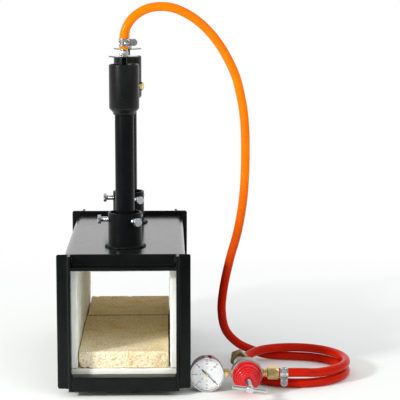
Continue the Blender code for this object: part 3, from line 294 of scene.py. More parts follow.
# %% Small and large blocks
def block(size, radius, at):
    """A box with round edges: the octants of a sphere, moved apart to the box's corners."""
    steps = 4
    quarter = np.linspace(0, np.pi / 2, steps)
    across = np.concatenate([quarter + k * np.pi / 2 for k in range(4)])
    up = np.concatenate([quarter - np.pi / 2, quarter])
    side_x = np.repeat([1, -1, -1, 1], steps)
    side_y = np.repeat([1, 1, -1, -1], steps)
    side_z = np.repeat([-1, 1], steps)
    core = np.array(size) / 2 - radius
    x = radius * np.cos(up)[:, None] * np.cos(across) + side_x * core[0]
    y = radius * np.cos(up)[:, None] * np.sin(across) + side_y * core[1]
    z = (radius * np.sin(up) + side_z * core[2])[:, None] + np.zeros(len(across))
    return surface(placed(np.stack([x, y, z], axis=-1), at), capped=True)


def waves(points, length, count, seed):
    """A smooth bumpy field, about -1 to 1: the sum of count sine waves in scattered directions."""
    dice = np.random.default_rng(seed)
    ways = dice.normal(size=(count, 3))
    ways *= 2 * np.pi / length / np.linalg.norm(ways, axis=1, keepdims=True)
    phases = dice.uniform(0, 2 * np.pi, count)
    return np.sin(points @ ways.T + phases).sum(axis=-1) / math.sqrt(count)


def rough_block(low, high, spacing, radius, push, shape=None):
    """Six grids over a box, close-set at its edges. push(points) moves each point outward."""
    low, high = np.asarray(low, float), np.asarray(high, float)
    near = radius * np.array([0, 0.12, 0.35, 0.7])
    marks = []
    for a, b in zip(low, high):
        inner = np.linspace(a + 1.2 * radius, b - 1.2 * radius, max(2, round((b - a) / spacing)))
        marks.append(np.concatenate([a + near, inner, b - near[::-1]]))
    faces = []
    for axis in range(3):
        a, b = [k for k in range(3) if k != axis]
        first, second = np.meshgrid(marks[a], marks[b], indexing="ij")
        for side in (low[axis], high[axis]):
            grid = np.empty((*first.shape, 3))
            grid[..., a], grid[..., b], grid[..., axis] = first, second, side
            core = np.clip(grid, low + radius, high - radius)
            way = grid - core
            way /= np.linalg.norm(way, axis=-1, keepdims=True)
            grid = core + way * (radius + push(grid)[..., None])
            grid = shape(grid) if shape else grid
            faces.append(surface(grid * MM, ring_columns=False))
    return faces


def drilled(piece, *cutters):
    """The piece less its cutters, by an exact Boolean. The result is stored, and the cutters go."""
    for cutter in cutters:
        hole = piece.modifiers.new(cutter.name, "BOOLEAN")
        hole.operation = "DIFFERENCE"
        hole.solver = "EXACT"
        hole.object = cutter
    bpy.context.view_layer.update()
    ready = piece.evaluated_get(bpy.context.evaluated_depsgraph_get())
    mesh = bpy.data.meshes.new_from_object(ready)
    piece.modifiers.clear()
    piece.data = mesh
    for cutter in cutters:
        bpy.data.objects.remove(cutter)
    mesh.shade_smooth()
    mesh.set_sharp_from_angle(angle=SHARP_EDGE)


# %% [markdown]
# ## The camera
#
# The camera was fitted to the photograph: the corners of the box's frames and circles of
# stock pipe fix its place. The lens is long, so the box narrows only a little toward its
# far end.

# %% Camera
FOCAL_PIXELS = 1513.93
FRAME_PIXELS = 400
SENSOR = 36
CAMERA_AT = (0.073965, -2.775169, 0.731916)
CAMERA_DOWN = 0.15323
CAMERA_RIGHT = 0.0224

camera_data = bpy.data.cameras.new("photo_camera")
camera_data.sensor_width = SENSOR
camera_data.lens = FOCAL_PIXELS / FRAME_PIXELS * SENSOR
camera_data.clip_end = 50
camera = bpy.data.objects.new("photo_camera", camera_data)
camera.location = CAMERA_AT
camera.rotation_euler = (math.pi / 2 - CAMERA_DOWN, 0, -CAMERA_RIGHT)
bpy.context.scene.collection.objects.link(camera)
bpy.context.scene.camera = camera
print("lens", round(camera_data.lens, 1), "mm")

# %% [markdown]
# ## Materials from nodes
#
# A finish is more than a colour. Each one here starts from a Principled shader, mixes two
# or three tones with noise at the scale of the real surface, lets the roughness wander, and
# pushes the surface in and out a little with a bump. The patterns read Object coordinates,
# which are metres here, so one noise scale means the same size on every piece.


# %% Node helpers
def new_material(name, roughness, metallic=0.0, coat=0.0):
    material = bpy.data.materials.new(name)
    material.use_nodes = True
    shader = material.node_tree.nodes["Principled BSDF"]
    shader.inputs["Roughness"].default_value = roughness
    shader.inputs["Metallic"].default_value = metallic
    shader.inputs["Coat Weight"].default_value = coat
    shader.inputs["Coat Roughness"].default_value = 0.12
    return material, shader


def noise(material, scale, stretch=(1, 1, 1), detail=4, kind="ShaderNodeTexNoise"):
    """A noise over the piece, in cycles a metre, which stretch can draw out along an axis."""
    tree = material.node_tree
    where = tree.nodes.new("ShaderNodeTexCoord")
    mapping = tree.nodes.new("ShaderNodeMapping")
    mapping.inputs["Scale"].default_value = stretch
    pattern = tree.nodes.new(kind)
    pattern.inputs["Scale"].default_value = scale
    if "Detail" in pattern.inputs:
        pattern.inputs["Detail"].default_value = detail
    tree.links.new(where.outputs["Object"], mapping.inputs["Vector"])
    tree.links.new(mapping.outputs["Vector"], pattern.inputs["Vector"])
    return pattern.outputs["Distance" if kind == "ShaderNodeTexVoronoi" else 0]


def ramp(material, value, stops):
    """A colour ramp. stops are (place, (r, g, b))."""
    tree = material.node_tree
    node = tree.nodes.new("ShaderNodeValToRGB")
    tree.links.new(value, node.inputs["Fac"])
    elements = node.color_ramp.elements
    for element, (place, colour) in zip((elements[0], elements[1]), (stops[0], stops[-1])):
        element.position = place
        element.color = (*colour, 1)
    for place, colour in stops[1:-1]:
        elements.new(place).color = (*colour, 1)
    return node.outputs["Color"]


def remap(material, value, low, high, out_low, out_high):
    tree = material.node_tree
    node = tree.nodes.new("ShaderNodeMapRange")
    numbers = {"From Min": low, "From Max": high, "To Min": out_low, "To Max": out_high}
    for socket, number in numbers.items():
        node.inputs[socket].default_value = number
    tree.links.new(value, node.inputs["Value"])
    return node.outputs["Result"]


def mixed(material, share, first, second, blend="MIX"):
    """Two colours mixed by a share, which may be a number or a socket."""
    tree = material.node_tree
    node = tree.nodes.new("ShaderNodeMix")
    node.data_type = "RGBA"
    node.blend_type = blend
    for socket, value in ((node.inputs[0], share), (node.inputs[6], first), (node.inputs[7], second)):
        if isinstance(value, bpy.types.NodeSocket):
            tree.links.new(value, socket)
        else:
            socket.default_value = value if np.isscalar(value) else (*value, 1)
    return node.outputs[2]


def bump(material, shader, height, strength, distance, under=None):
    tree = material.node_tree
    node = tree.nodes.new("ShaderNodeBump")
    node.inputs["Strength"].default_value = strength
    node.inputs["Distance"].default_value = distance
    tree.links.new(height, node.inputs["Height"])
    if under is not None:
        tree.links.new(under, node.inputs["Normal"])
    tree.links.new(node.outputs["Normal"], shader.inputs["Normal"])
    return node.outputs["Normal"]


def share_along(material, axis, near, far):
    """0 at one place along an axis and 1 at another, for a tone that changes along it."""
    tree = material.node_tree
    where = tree.nodes.new("ShaderNodeTexCoord")
    split = tree.nodes.new("ShaderNodeSeparateXYZ")
    tree.links.new(where.outputs["Object"], split.inputs["Vector"])
    return remap(material, split.outputs[axis], near, far, 0, 1)


def arithmetic(material, operation, first, second):
    """Two values joined by ADD or MULTIPLY."""
    node = material.node_tree.nodes.new("ShaderNodeMath")
    node.operation = operation
    material.node_tree.links.new(first, node.inputs[0])
    material.node_tree.links.new(second, node.inputs[1])
    return node.outputs[0]


def blended(material, share, first, second):
    """Two shaders mixed by a share. Each shader is an output socket."""
    node = material.node_tree.nodes.new("ShaderNodeMixShader")
    for socket, value in zip(node.inputs, (share, first, second)):
        material.node_tree.links.new(value, socket)
    return node.outputs[0]


# %% [markdown]
# Paint and metal could each be one flat shader, but then every piece would look moulded from
# the same plastic. Two short recipes serve nearly all finishes instead: paint has soft clouds
# and pimples, and metal has marks that run one way. Each finish is then one row of numbers.


# %% Paint and metal
def painted(name, dark, light, roughness, grain, coat, wander, level):
    """Paint: two tones in soft clouds, a wandering gloss and the fine pimples of a sprayed coat."""
    material, shader = new_material(name, roughness, coat=coat)
    shader.inputs["Specular IOR Level"].default_value = level
    link = material.node_tree.links.new
    clouds = ramp(material, noise(material, 25), [(0.35, dark), (0.65, light)])
    link(clouds, shader.inputs["Base Color"])
    gloss = remap(material, noise(material, 60), 0.3, 0.7, roughness - wander, roughness + wander)
    link(gloss, shader.inputs["Roughness"])
    bump(material, shader, noise(material, grain, detail=2), 0.12, 0.2 * MM)
    return material


def metal(name, dark, light, roughness, stretch, grain):
    """Bare or plated metal: tones vary a little, and tool marks lie along one way."""
    material, shader = new_material(name, roughness, metallic=1.0)
    link = material.node_tree.links.new
    clouds = ramp(material, noise(material, 90), [(0.3, dark), (0.7, light)])
    link(clouds, shader.inputs["Base Color"])
    marks = noise(material, grain, stretch, 3)
    gloss = remap(material, marks, 0.3, 0.7, roughness - 0.07, roughness + 0.09)
    link(gloss, shader.inputs["Roughness"])
    bump(material, shader, marks, 0.1, 0.1 * MM)
    return material


# %% [markdown]
# ## The forge's own finishes
#
# The steel is sprayed black. The shell has a half gloss that mirrors the white behind it, the
# angle iron is duller, and the cast bells have a satin grain. A choke disc is bright, and its
# turned edge carries a painted dark reflection. Fire brick is cream clay full of dark specks and
# pits, with painted shade further into the chamber and a painted shadow in the gap where two
# bricks meet. Ceramic fibre is a white felt with a faint painted shade further into the chamber.


# %% Brick, fibre and glass
def fired_clay(name):
    """Cream clay in clouds, times brown stains, times dark specks, which are pits too, times a
    painted shade in the gap where the bricks meet and a painted shade further into the chamber."""
    material, shader = new_material(name, 0.95)
    clay = ramp(material, noise(material, 330, detail=8), [
        (0.34, (0.60, 0.45, 0.24)), (0.47, (0.86, 0.75, 0.51)), (0.66, (0.95, 0.88, 0.69)),
    ])
    stain = ramp(material, noise(material, 26, detail=6), [(0.5, (1, 1, 1)), (0.72, (0.93, 0.78, 0.55))])
    clay = mixed(material, 1.0, clay, stain, "MULTIPLY")
    cells = noise(material, 230, kind="ShaderNodeTexVoronoi")
    scatter = remap(material, noise(material, 140, detail=2), 0.40, 0.62, 0.3, -0.12)
    spots = arithmetic(material, "ADD", cells, scatter)
    speck = ramp(material, spots, [(0.14, (0.22, 0.12, 0.05)), (0.26, (1, 1, 1))])
    clay = mixed(material, 0.95, clay, speck, "MULTIPLY")
    # Painted shade: a dark band on the brick faces at the gap where the two bricks meet.
    gap_shade_tone = (0.34, 0.25, 0.14)
    painted_gap_shade = ramp(material, share_along(material, "Y", 0.03, 0.08), [
        (0.36, (1, 1, 1)), (0.46, gap_shade_tone), (0.52, gap_shade_tone), (0.6, (1, 1, 1)),
    ])
    clay = mixed(material, 0.9, clay, painted_gap_shade, "MULTIPLY")
    # Painted shade: the clay turns browner and darker further into the chamber, where less light reaches.
    shade_depth_share = share_along(material, "Y", -0.215, -0.05)
    painted_deep_shade = mixed(material, shade_depth_share, (1, 1, 1), (0.95, 0.84, 0.62))
    colour = mixed(material, 1.0, clay, painted_deep_shade, "MULTIPLY")
    material.node_tree.links.new(colour, shader.inputs["Base Color"])
    under = bump(material, shader, noise(material, 700, detail=6), 0.5, 0.5 * MM)
    bump(material, shader, speck, 0.6, 0.7 * MM, under)
    return material


def fibre_felt(name):
    """Off-white felt: soft clouds, a faint painted shade further into the chamber, and short fibres as a
    bump.
    """
    material, shader = new_material(name, 1.0)
    felt = ramp(material, noise(material, 40, detail=7), [
        (0.3, (0.86, 0.86, 0.79)), (0.52, (0.93, 0.94, 0.88)), (0.7, (0.96, 0.97, 0.93)),
    ])
    # Painted shade: the felt turns a little warmer and darker toward the back of the chamber.
    shade_depth_share = share_along(material, "Y", -0.05, 0.03)
    painted_deep_shade = mixed(material, shade_depth_share, (1, 1, 1), (1.0, 0.96, 0.86))
    colour = mixed(material, 1.0, felt, painted_deep_shade, "MULTIPLY")
    material.node_tree.links.new(colour, shader.inputs["Base Color"])
    shader.inputs["Sheen Weight"].default_value = 0.15
    under = bump(material, shader, noise(material, 260, (1, 0.25, 2.5), 5), 0.55, 0.8 * MM)
    bump(material, shader, noise(material, 1200, (2, 0.6, 1), 3), 0.35, 0.3 * MM, under)
    return material


def clear_lens(name):
    """A thin glass: nearly see-through, with a faint milky film of dust."""
    material, shader = new_material(name, 0.04)
    film = remap(material, noise(material, 60), 0.3, 0.7, 0.03, 0.06)
    material.node_tree.links.new(film, shader.inputs["Alpha"])
    shader.inputs["Base Color"].default_value = (0.9, 0.95, 0.95, 1)
    return material


# %% All finishes, each with the slot that it fills
# A paint's row: dark and light tone, roughness, grain in cycles a metre, clear coat, how far the
# gloss wanders, and the specular level, which sets how much light it mirrors.
PAINTS = {
    "black_paint": ((0.0032, 0.0036, 0.004), (0.0055, 0.006, 0.0065), 0.3, 700, 0, 0.03, 0.09),
    "shell_black": ((0.007, 0.0075, 0.0075), (0.011, 0.012, 0.012), 0.2, 900, 0.15, 0.015, 0.5),
    "dull_black": ((0.0024, 0.0027, 0.003), (0.005, 0.0055, 0.006), 0.3, 500, 0, 0.03, 0.18),
    "cast_iron": ((0.003, 0.0033, 0.0033), (0.007, 0.0075, 0.0075), 0.29, 330, 0, 0.03, 0.28),
    "red_paint": ((0.50, 0.005, 0.009), (0.66, 0.010, 0.014), 0.3, 420, 0.3, 0.05, 0.35),
    "maroon_paint": ((0.12, 0.002, 0.008), (0.20, 0.004, 0.014), 0.22, 420, 0, 0.03, 0.2),
    "black_rubber": ((0.015, 0.015, 0.015), (0.03, 0.03, 0.03), 0.7, 900, 0, 0.05, 0.5),
    "dial_white": ((0.80, 0.83, 0.84), (0.88, 0.90, 0.90), 0.55, 900, 0, 0.05, 0.5),
    "dial_ink": ((0.02, 0.022, 0.028), (0.04, 0.042, 0.05), 0.5, 900, 0, 0.05, 0.5),
}
# A metal's row: dark and light tone, roughness, the way that its tool marks are drawn out, and
# their grain.
EVEN = (1, 1, 1)
STRETCHED = (1, 1, 12)
METALS = {
    "zinc_plate": ((0.62, 0.68, 0.70), (0.80, 0.85, 0.86), 0.26, EVEN, 900),
    "plain_steel": ((0.58, 0.58, 0.57), (0.74, 0.74, 0.73), 0.24, STRETCHED, 900),
    "bright_plate": ((0.72, 0.73, 0.74), (0.86, 0.87, 0.88), 0.16, EVEN, 900),
    # A painted dark reflection for the choke disc's turned edge.
    "painted_reflection_edge": ((0.07, 0.07, 0.07), (0.12, 0.12, 0.12), 0.4, EVEN, 900),
    "brass": ((0.76, 0.55, 0.22), (0.90, 0.71, 0.36), 0.26, STRETCHED, 900),
    "olive_brass": ((0.20, 0.15, 0.05), (0.36, 0.28, 0.10), 0.34, EVEN, 900),
    "zinc_casting": ((0.42, 0.40, 0.36), (0.56, 0.54, 0.49), 0.5, EVEN, 400),
}
OTHERS = {"ceramic_fibre": fibre_felt, "fire_brick": fired_clay, "gauge_glass": clear_lens}
SHARED_SLOTS = {
    "shell_black": "black_paint", "dull_black": "black_paint", "dial_ink": "dial_white",
    "painted_reflection_edge": "bright_plate", "olive_brass": "brass",
}
materials = {name: painted(name, *row) for name, row in PAINTS.items()}
materials.update({name: metal(name, *row) for name, row in METALS.items()})
materials.update({name: made(name) for name, made in OTHERS.items()})
finishes.update({name: (made, SHARED_SLOTS.get(name, name)) for name, made in materials.items()})
print(len(finishes), "finishes")

# %% [markdown]
# ## The hose
#
# The hose is gas hose, sixteen millimetres across with thick walls, stiff enough to stand in
# an arch over the burner and to spring into round turns on the floor. Its centreline is one smooth
# curve: listed points down to the floor, then turns by formula that climb one layer on the far
# side, then a short run into the regulator. A circle carried along that line is the whole surface.

# %% The hose's centreline
HOSE_RADIUS = 8 * MM
HOSE_SIDES = 28
HOSE_STEP = 4 * MM
HOSE_FOOT = (0.0, -0.109, 0.5886)
HOSE_ROUTE = [
    (0.0, -0.109, 0.603), (0.0015, -0.109, 0.617), (0.009, -0.109, 0.634), (0.022, -0.109, 0.648),
    (0.041, -0.108, 0.6585), (0.064, -0.1065, 0.6623), (0.087, -0.104, 0.6597), (0.108, -0.101, 0.651),
    (0.129, -0.098, 0.6376), (0.150, -0.094, 0.6182), (0.1695, -0.090, 0.5934), (0.1856, -0.086, 0.5658),
    (0.1983, -0.082, 0.537), (0.2067, -0.078, 0.5047), (0.2124, -0.074, 0.474), (0.2155, -0.070, 0.441),
    (0.2165, -0.066, 0.4044), (0.216, -0.062, 0.3584), (0.213, -0.058, 0.312), (0.204, -0.052, 0.2545),
    (0.189, -0.045, 0.1962), (0.1785, -0.038, 0.142), (0.1758, -0.029, 0.099), (0.184, -0.019, 0.060),
    (0.207, -0.010, 0.033), (0.235, -0.0065, 0.0185), (0.261, -0.0085, 0.0105),
]
COIL_CENTRE = (0.305, -0.107)
COIL_RADIUS = 0.093
COIL_POINTS = 52
COIL_LOW = 8.3 * MM
COIL_RISE = 17 * MM
COIL_ANGLES = (84, -425)
COIL_CLIMB = (-120, -240)
HOSE_END = (0.2689, -0.212, 0.0306)


def coil_line(count):
    """Clockwise turns seen from above. Between two angles the height eases up by one layer."""
    angle = np.linspace(*COIL_ANGLES, count)
    climb = np.clip((COIL_CLIMB[0] - angle) / (COIL_CLIMB[0] - COIL_CLIMB[1]), 0, 1)
    turn = np.radians(angle)
    x = COIL_CENTRE[0] + COIL_RADIUS * np.cos(turn)
    y = COIL_CENTRE[1] + COIL_RADIUS * np.sin(turn)
    return np.stack([x, y, COIL_LOW + COIL_RISE * climb**2 * (3 - 2 * climb)], axis=1)


def smooth_line(points, spacing):
    """A centripetal Catmull-Rom curve through the points, then even steps along it."""
    p = np.concatenate([[2 * points[0] - points[1]], points, [2 * points[-1] - points[-2]]])
    knots = np.concatenate([[0], np.cumsum(np.sqrt(np.linalg.norm(np.diff(p, axis=0), axis=1)))])
    t0, t1, t2, t3 = (knots[i:len(knots) - 3 + i, None, None] for i in range(4))
    p0, p1, p2, p3 = (p[i:len(p) - 3 + i, None, :] for i in range(4))
    u = t1 + (t2 - t1) * np.linspace(0, 1, 16, endpoint=False)[None, :, None]
    a1 = p0 + (p1 - p0) * (u - t0) / (t1 - t0)
    a2 = p1 + (p2 - p1) * (u - t1) / (t2 - t1)
    a3 = p2 + (p3 - p2) * (u - t2) / (t3 - t2)
    b1 = a1 + (a2 - a1) * (u - t0) / (t2 - t0)
    b2 = a2 + (a3 - a2) * (u - t1) / (t3 - t1)
    fine = np.concatenate([(b1 + (b2 - b1) * (u - t1) / (t2 - t1)).reshape(-1, 3), points[-1:]])
    run = np.concatenate([[0], np.cumsum(np.linalg.norm(np.diff(fine, axis=0), axis=1))])
    even = np.linspace(0, run[-1], round(run[-1] / spacing) + 1)
    return np.stack([np.interp(even, run, fine[:, k]) for k in range(3)], axis=1), run[-1]


def carried_circle(line, radius, sides):
    """A circle at each point of a line, square to it. Each is turned from the last without a twist."""
    along = np.gradient(line, axis=0)
    along /= np.linalg.norm(along, axis=1, keepdims=True)
    across = np.zeros_like(line)
    across[0] = np.cross(along[0], np.eye(3)[np.argmin(np.abs(along[0]))])
    across[0] /= np.linalg.norm(across[0])
    for i in range(1, len(line)):
        across[i] = across[i - 1] - along[i] * np.dot(across[i - 1], along[i])
        across[i] /= np.linalg.norm(across[i])
    third = np.cross(along, across)
    angle = (np.arange(sides) * 2 * np.pi / sides)[None, :, None]
    ring = np.cos(angle) * across[:, None] + np.sin(angle) * third[:, None]
    return line[:, None] + np.reshape(radius, (-1, 1, 1)) * ring


# The run from the coil into the regulator is a cubic from the coil's last point, along the way
# that it leaves in, to a straight end in line with the regulator's outlet.
STRAIGHT_RUN = 37 * MM
coil = coil_line(COIL_POINTS)
straight_end = np.array(HOSE_END) + (STRAIGHT_RUN, 0, 0)
t = np.linspace(0, 1, 5)[1:, None]
last_angle = math.radians(COIL_ANGLES[1])
leave = np.array([math.sin(last_angle), -math.cos(last_angle), 0])
reach = np.linalg.norm(straight_end - coil[-1])
run_out = (
    (2 * t**3 - 3 * t**2 + 1) * coil[-1] + (t**3 - 2 * t**2 + t) * reach * leave
    + (3 * t**2 - 2 * t**3) * straight_end + (t**3 - t**2) * reach * np.array([-1.0, 0, 0])
)
route = np.concatenate([[HOSE_FOOT], HOSE_ROUTE, coil, run_out, [HOSE_END]])
hose_line, hose_length = smooth_line(route, HOSE_STEP)
skin = carried_circle(hose_line, HOSE_RADIUS, HOSE_SIDES)
hose = mesh_piece("gas_hose", [surface(skin, capped=True)])
print("hose", round(hose_length, 3), "m")

# %% [markdown]
# The hose's colour holds painted light and shade: a strong lit orange above, which deepens to a
# shaded red toward the floor. Rubber mirrors little light, so the gloss is held low, and a little
# of the light scatters under its skin. A faint ripple breaks the highlights up, as on moulded rubber.


# %% The hose's finish
def hose_finish():
    material, shader = new_material("orange_hose", 0.18, coat=0.02)
    shader.inputs["Specular IOR Level"].default_value = 0.07
    # Painted light and shade: lit orange higher up and shaded red lower down, by height.
    height = share_along(material, "Z", 0.16, 0.36)
    lit_and_shaded_tone = mixed(material, height, (0.56, 0.012, 0.001), (0.98, 0.200, 0.001))
    cloud = ramp(material, noise(material, 30), [(0.3, (0.86, 0.86, 0.86)), (0.7, (1, 1, 1))])
    colour = mixed(material, 1.0, lit_and_shaded_tone, cloud, "MULTIPLY")
    material.node_tree.links.new(colour, shader.inputs["Base Color"])
    shader.inputs["Subsurface Weight"].default_value = 0.12
    shader.inputs["Subsurface Radius"].default_value = (0.006, 0.0015, 0.0005)
    bump(material, shader, noise(material, 220, detail=2), 0.12, 0.3 * MM)
    return material


finishes["orange_hose"] = (hose_finish(), "orange_hose")
hose.data.materials.append(finishes["orange_hose"][0])
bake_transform(hose)
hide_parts("gas_hose_run", "gas_hose_coil", "hose_cuff_burner", "hose_cuff_regulator")

# %% [markdown]
# ## End frames and runners
#
# Each end of the box carries a frame of 25 mm angle iron: two full-height sides, a top between
# them, and a channel along the foot. They are four separate bars, so the fit-up seams show, and
# short welds join them. Two hat-shaped runners under the box lift it off the bench.


# %% Angle iron, welds and runners
ANGLE = [(0, 0), (25, 0), (25, 5), (5, 5), (5, 25), (0, 25)]
ANGLE_ROUNDS = (0.7, 0.7, 2.4, 4, 2.4, 0.7)
CHANNEL = [(0, 0), (5, 0), (5, 20), (20, 20), (20, 0), (25, 0), (25, 25), (0, 25)]
CHANNEL_ROUNDS = (0.7, 0.7, 3, 3, 0.7, 0.7, 0.9, 0.7)
BAR_WIDTH = 25
FRAME_LOW = 10
FRAME_HEIGHT = 236
FRAME_FOOT = 230.3
SIDE_AT = 90
FIT_UP = 0.2
RUNNER_FROM_MIDDLE = 168
RUNNER_LENGTH = 190
WELD_RIPPLE = 2


def frame_round(points):
    """The frame's corners ground round, and each bar a touch uneven, as rolled steel is."""
    drift = [0.1 * waves(points, 130, 5, seed) for seed in (1, 2, 3)]
    return kept_in(points, (115, 118), 4) + np.stack(drift, axis=-1) * (points[..., 2:] > 11)


def weld(line, radius, seed):
    """Weld metal: a circle along a joint, in even ripples, made lumpy by waves."""
    start, end = np.array(line, float)
    share = np.linspace(0, 1, round(np.linalg.norm(end - start) / 0.4))
    points = start + share[:, None] * (end - start)
    run = share * np.linalg.norm(end - start)
    swell = 1 - 0.13 * np.abs(np.sin(np.pi * run / WELD_RIPPLE)) + 0.1 * waves(points, 9, 6, seed)
    swell *= np.minimum(1, 0.3 + 2.5 * np.minimum(share, 1 - share))
    return surface(carried_circle(points * MM, radius * swell * MM, 14), capped=True)


def end_frame(facing):
    """Two upright angles, a top angle and a foot channel between them, and four welds. facing is
    -1 at the front and 1 at the back."""
    foot = facing * FRAME_FOOT
    out, up, lying = (0, facing, 0), (0, 0, 1), (1, 0, 0)
    left, run = FIT_UP - SIDE_AT, 2 * (SIDE_AT - FIT_UP)
    bars = [
        bar(ANGLE, (side * SIDE_AT, foot, FRAME_LOW), (side, 0, 0), out, up, FRAME_HEIGHT, ANGLE_ROUNDS,
            2.5, 0.5, frame_round)
        for side in (-1, 1)
    ]
    top = FRAME_LOW + FRAME_HEIGHT - BAR_WIDTH
    bars.append(bar(ANGLE, (left, foot, top), out, up, lying, run, ANGLE_ROUNDS))
    bars.append(bar(CHANNEL, (left, foot, FRAME_LOW), out, up, lying, run, CHANNEL_ROUNDS))
    for side in (-1, 1):
        edge, face = side * (SIDE_AT - 0.6), foot + facing * 5.6
        bars.append(weld([(edge, face, 227), (edge, face, 244.5)], 2.7, 3 + side))
        bars.append(weld([(edge, face + facing, 35.6), (edge, face + facing * 17, 35.6)], 2.2, 7 + side))
    return bars


HAT = [
    (-25, 0), (-10, 0), (-10, 15.2), (10, 15.2), (10, 0), (25, 0),
    (25, 3), (13, 3), (13, 18.2), (-13, 18.2), (-13, 3), (-25, 3),
]
for name, facing in (("front", -1), ("rear", 1)):
    make(f"{name}_angle_frame", end_frame(facing), "dull_black", f"{name}_frame")
    foot = (-RUNNER_LENGTH / 2, facing * RUNNER_FROM_MIDDLE, 0)
    hat = bar(HAT, foot, (0, 1, 0), (0, 0, 1), (1, 0, 0), RUNNER_LENGTH, 1.2)
    make(f"{name}_hat_runner", [hat], "dull_black", f"{name}_runner")
print("end frames and runners made, frames", FRAME_HEIGHT, "mm high")

# %% [markdown]
# ## Shell, lining and hearth
#
# The shell is one folded sheet with round bends. Four slabs of fibre line it, pressed in by
# hand, so their edges wander. Two bricks lie on the floor slab: sharp-edged once, now chipped,
# with one front corner broken away.

# %% Folded shell
OUTSIDE = [(-106.5, 18.5), (106.5, 18.5), (106.5, 237.5), (-106.5, 237.5)]
INSIDE = [(-104.5, 20.5), (104.5, 20.5), (104.5, 235.5), (-104.5, 235.5)]
PORT_RADIUS = 23.5
BURNERS = {"front": -109, "rear": 146}


def port_cutter(name, y):
    """A plain cylinder through the roof, on a burner's axis."""
    profile = [(0, 200), (PORT_RADIUS, 200), (PORT_RADIUS, 245), (0, 245)]
    return mesh_piece(name, [turned(profile, (0, y, 0), radius=0)])


def folded_shell():
    """Two rounded rectangles, outer and inner, carried from end to end and joined at both."""
    outer, inner = ring_of(OUTSIDE, 14, 9), ring_of(INSIDE, 12, 9)
    eased = outer + (inner - outer) * 0.15
    rows = [(inner, -230), (eased, -230), (outer, -229.7)]
    rows += [(outer, y) for y in np.linspace(-215, 215, 44)]
    rows += [(outer, 229.7), (eased, 230), (inner, 230)]
    grid = np.array([np.insert(outline, 1, y, axis=1) for outline, y in rows])
    return mesh_piece("folded_shell", [surface(grid * MM, ring_rows=True)])


shell = folded_shell()
drilled(shell, *(port_cutter(f"{name}_shell_port", y) for name, y in BURNERS.items()))
dress(shell, "shell_black", "body_shell")


# %% [markdown]
# Ceramic fibre is soft, so a slab keeps no straight face. A bump in its material would show
# that from the front, but its outline would stay straight. Here the points themselves are
# pushed by waves, and are then held inside the shell, as the real slabs are.


# %% Fibre slabs
def felt_push(points):
    """Slow swells and small hollows, mostly inward, in millimetres."""
    return 0.45 * waves(points, 55, 7, 21) + 0.3 * waves(points, 14, 9, 22) - 0.75


def room(points):
    """Points held inside the shell's inner faces and bends."""
    return kept_in(points, (104.2, 107.2), 12)


SLABS = {
    "floor_liner": ((-104.2, -229.7, 20.8), (104.2, 229.7, 43.8)),
    "left_liner": ((-104.2, -229.7, 43.7), (-79.4, 229.7, 235.2)),
    "right_liner": ((79.4, -229.7, 43.7), (104.2, 229.7, 235.2)),
}
for node, (low, high) in SLABS.items():
    make(f"{node}_felt", rough_block(low, high, 5, 2.5, felt_push, room), "ceramic_fibre", node)
roof_slab = rough_block((-79.8, -214, 210.2), (79.8, 222, 235.2), 6, 6, felt_push, room)
roof = mesh_piece("roof_liner_felt", roof_slab)
drilled(roof, *(port_cutter(f"{name}_felt_port", y) for name, y in BURNERS.items()))
dress(roof, "ceramic_fibre", "roof_liner")


# %% [markdown]
# Brick is brittle, so its edges carry chips, and the front one has lost a corner. Sculpting by
# hand would give that too, but a formula can be read and changed: chips lie where a field of
# waves passes a level, a finer field is the grain, and the lost corner is one round hollow.


# %% Hearth bricks
def chipped(points):
    """Chips where a wave passes a level near an edge, grain all over, and one broken corner."""
    chips = -2.2 * np.maximum(0, waves(points, 12, 9, 31) - 0.75)
    grain = 0.14 * waves(points, 5, 12, 32) - 0.2
    from_corner = np.linalg.norm((points - (-79.1, -225, 43.7)) / (1.0, 1.2, 0.9), axis=-1)
    from_top = np.linalg.norm(points - (-79.1, -225, 73.3), axis=-1)
    return chips + grain - 5 * np.exp(-((from_corner / 8) ** 2)) - 2.5 * np.exp(-((from_top / 6) ** 2))


BRICKS = {
    "hearth_brick_front": ((-79.1, -225, 43.7), (77.0, 53.2, 73.3)),
    "hearth_brick_rear": ((-77.6, 55.2, 43.7), (78.3, 225, 73.0)),
}
for node, (low, high) in BRICKS.items():
    make(f"{node}_clay", rough_block(low, high, 3, 1.8, chipped), "fire_brick", node)
print("shell, lining and hearth made")

# %% [markdown]
# ## Bolts
#
# Three bolts grip each burner tube. Their threads are real shape, because they are seen from
# the side, and each head has a washer face, six flats and a coned top. One more screw holds
# each bell on its tube: a socket screw in front, and a larger brass one behind.


# %% Bolts in the holders and bells
def spoke(angle, radius, y, z):
    """A place at a radius round a burner's axis, and the outward direction there."""
    turn = math.radians(angle)
    way = (math.cos(turn), math.sin(turn), 0)
    return (radius * way[0], y + radius * way[1], z), way


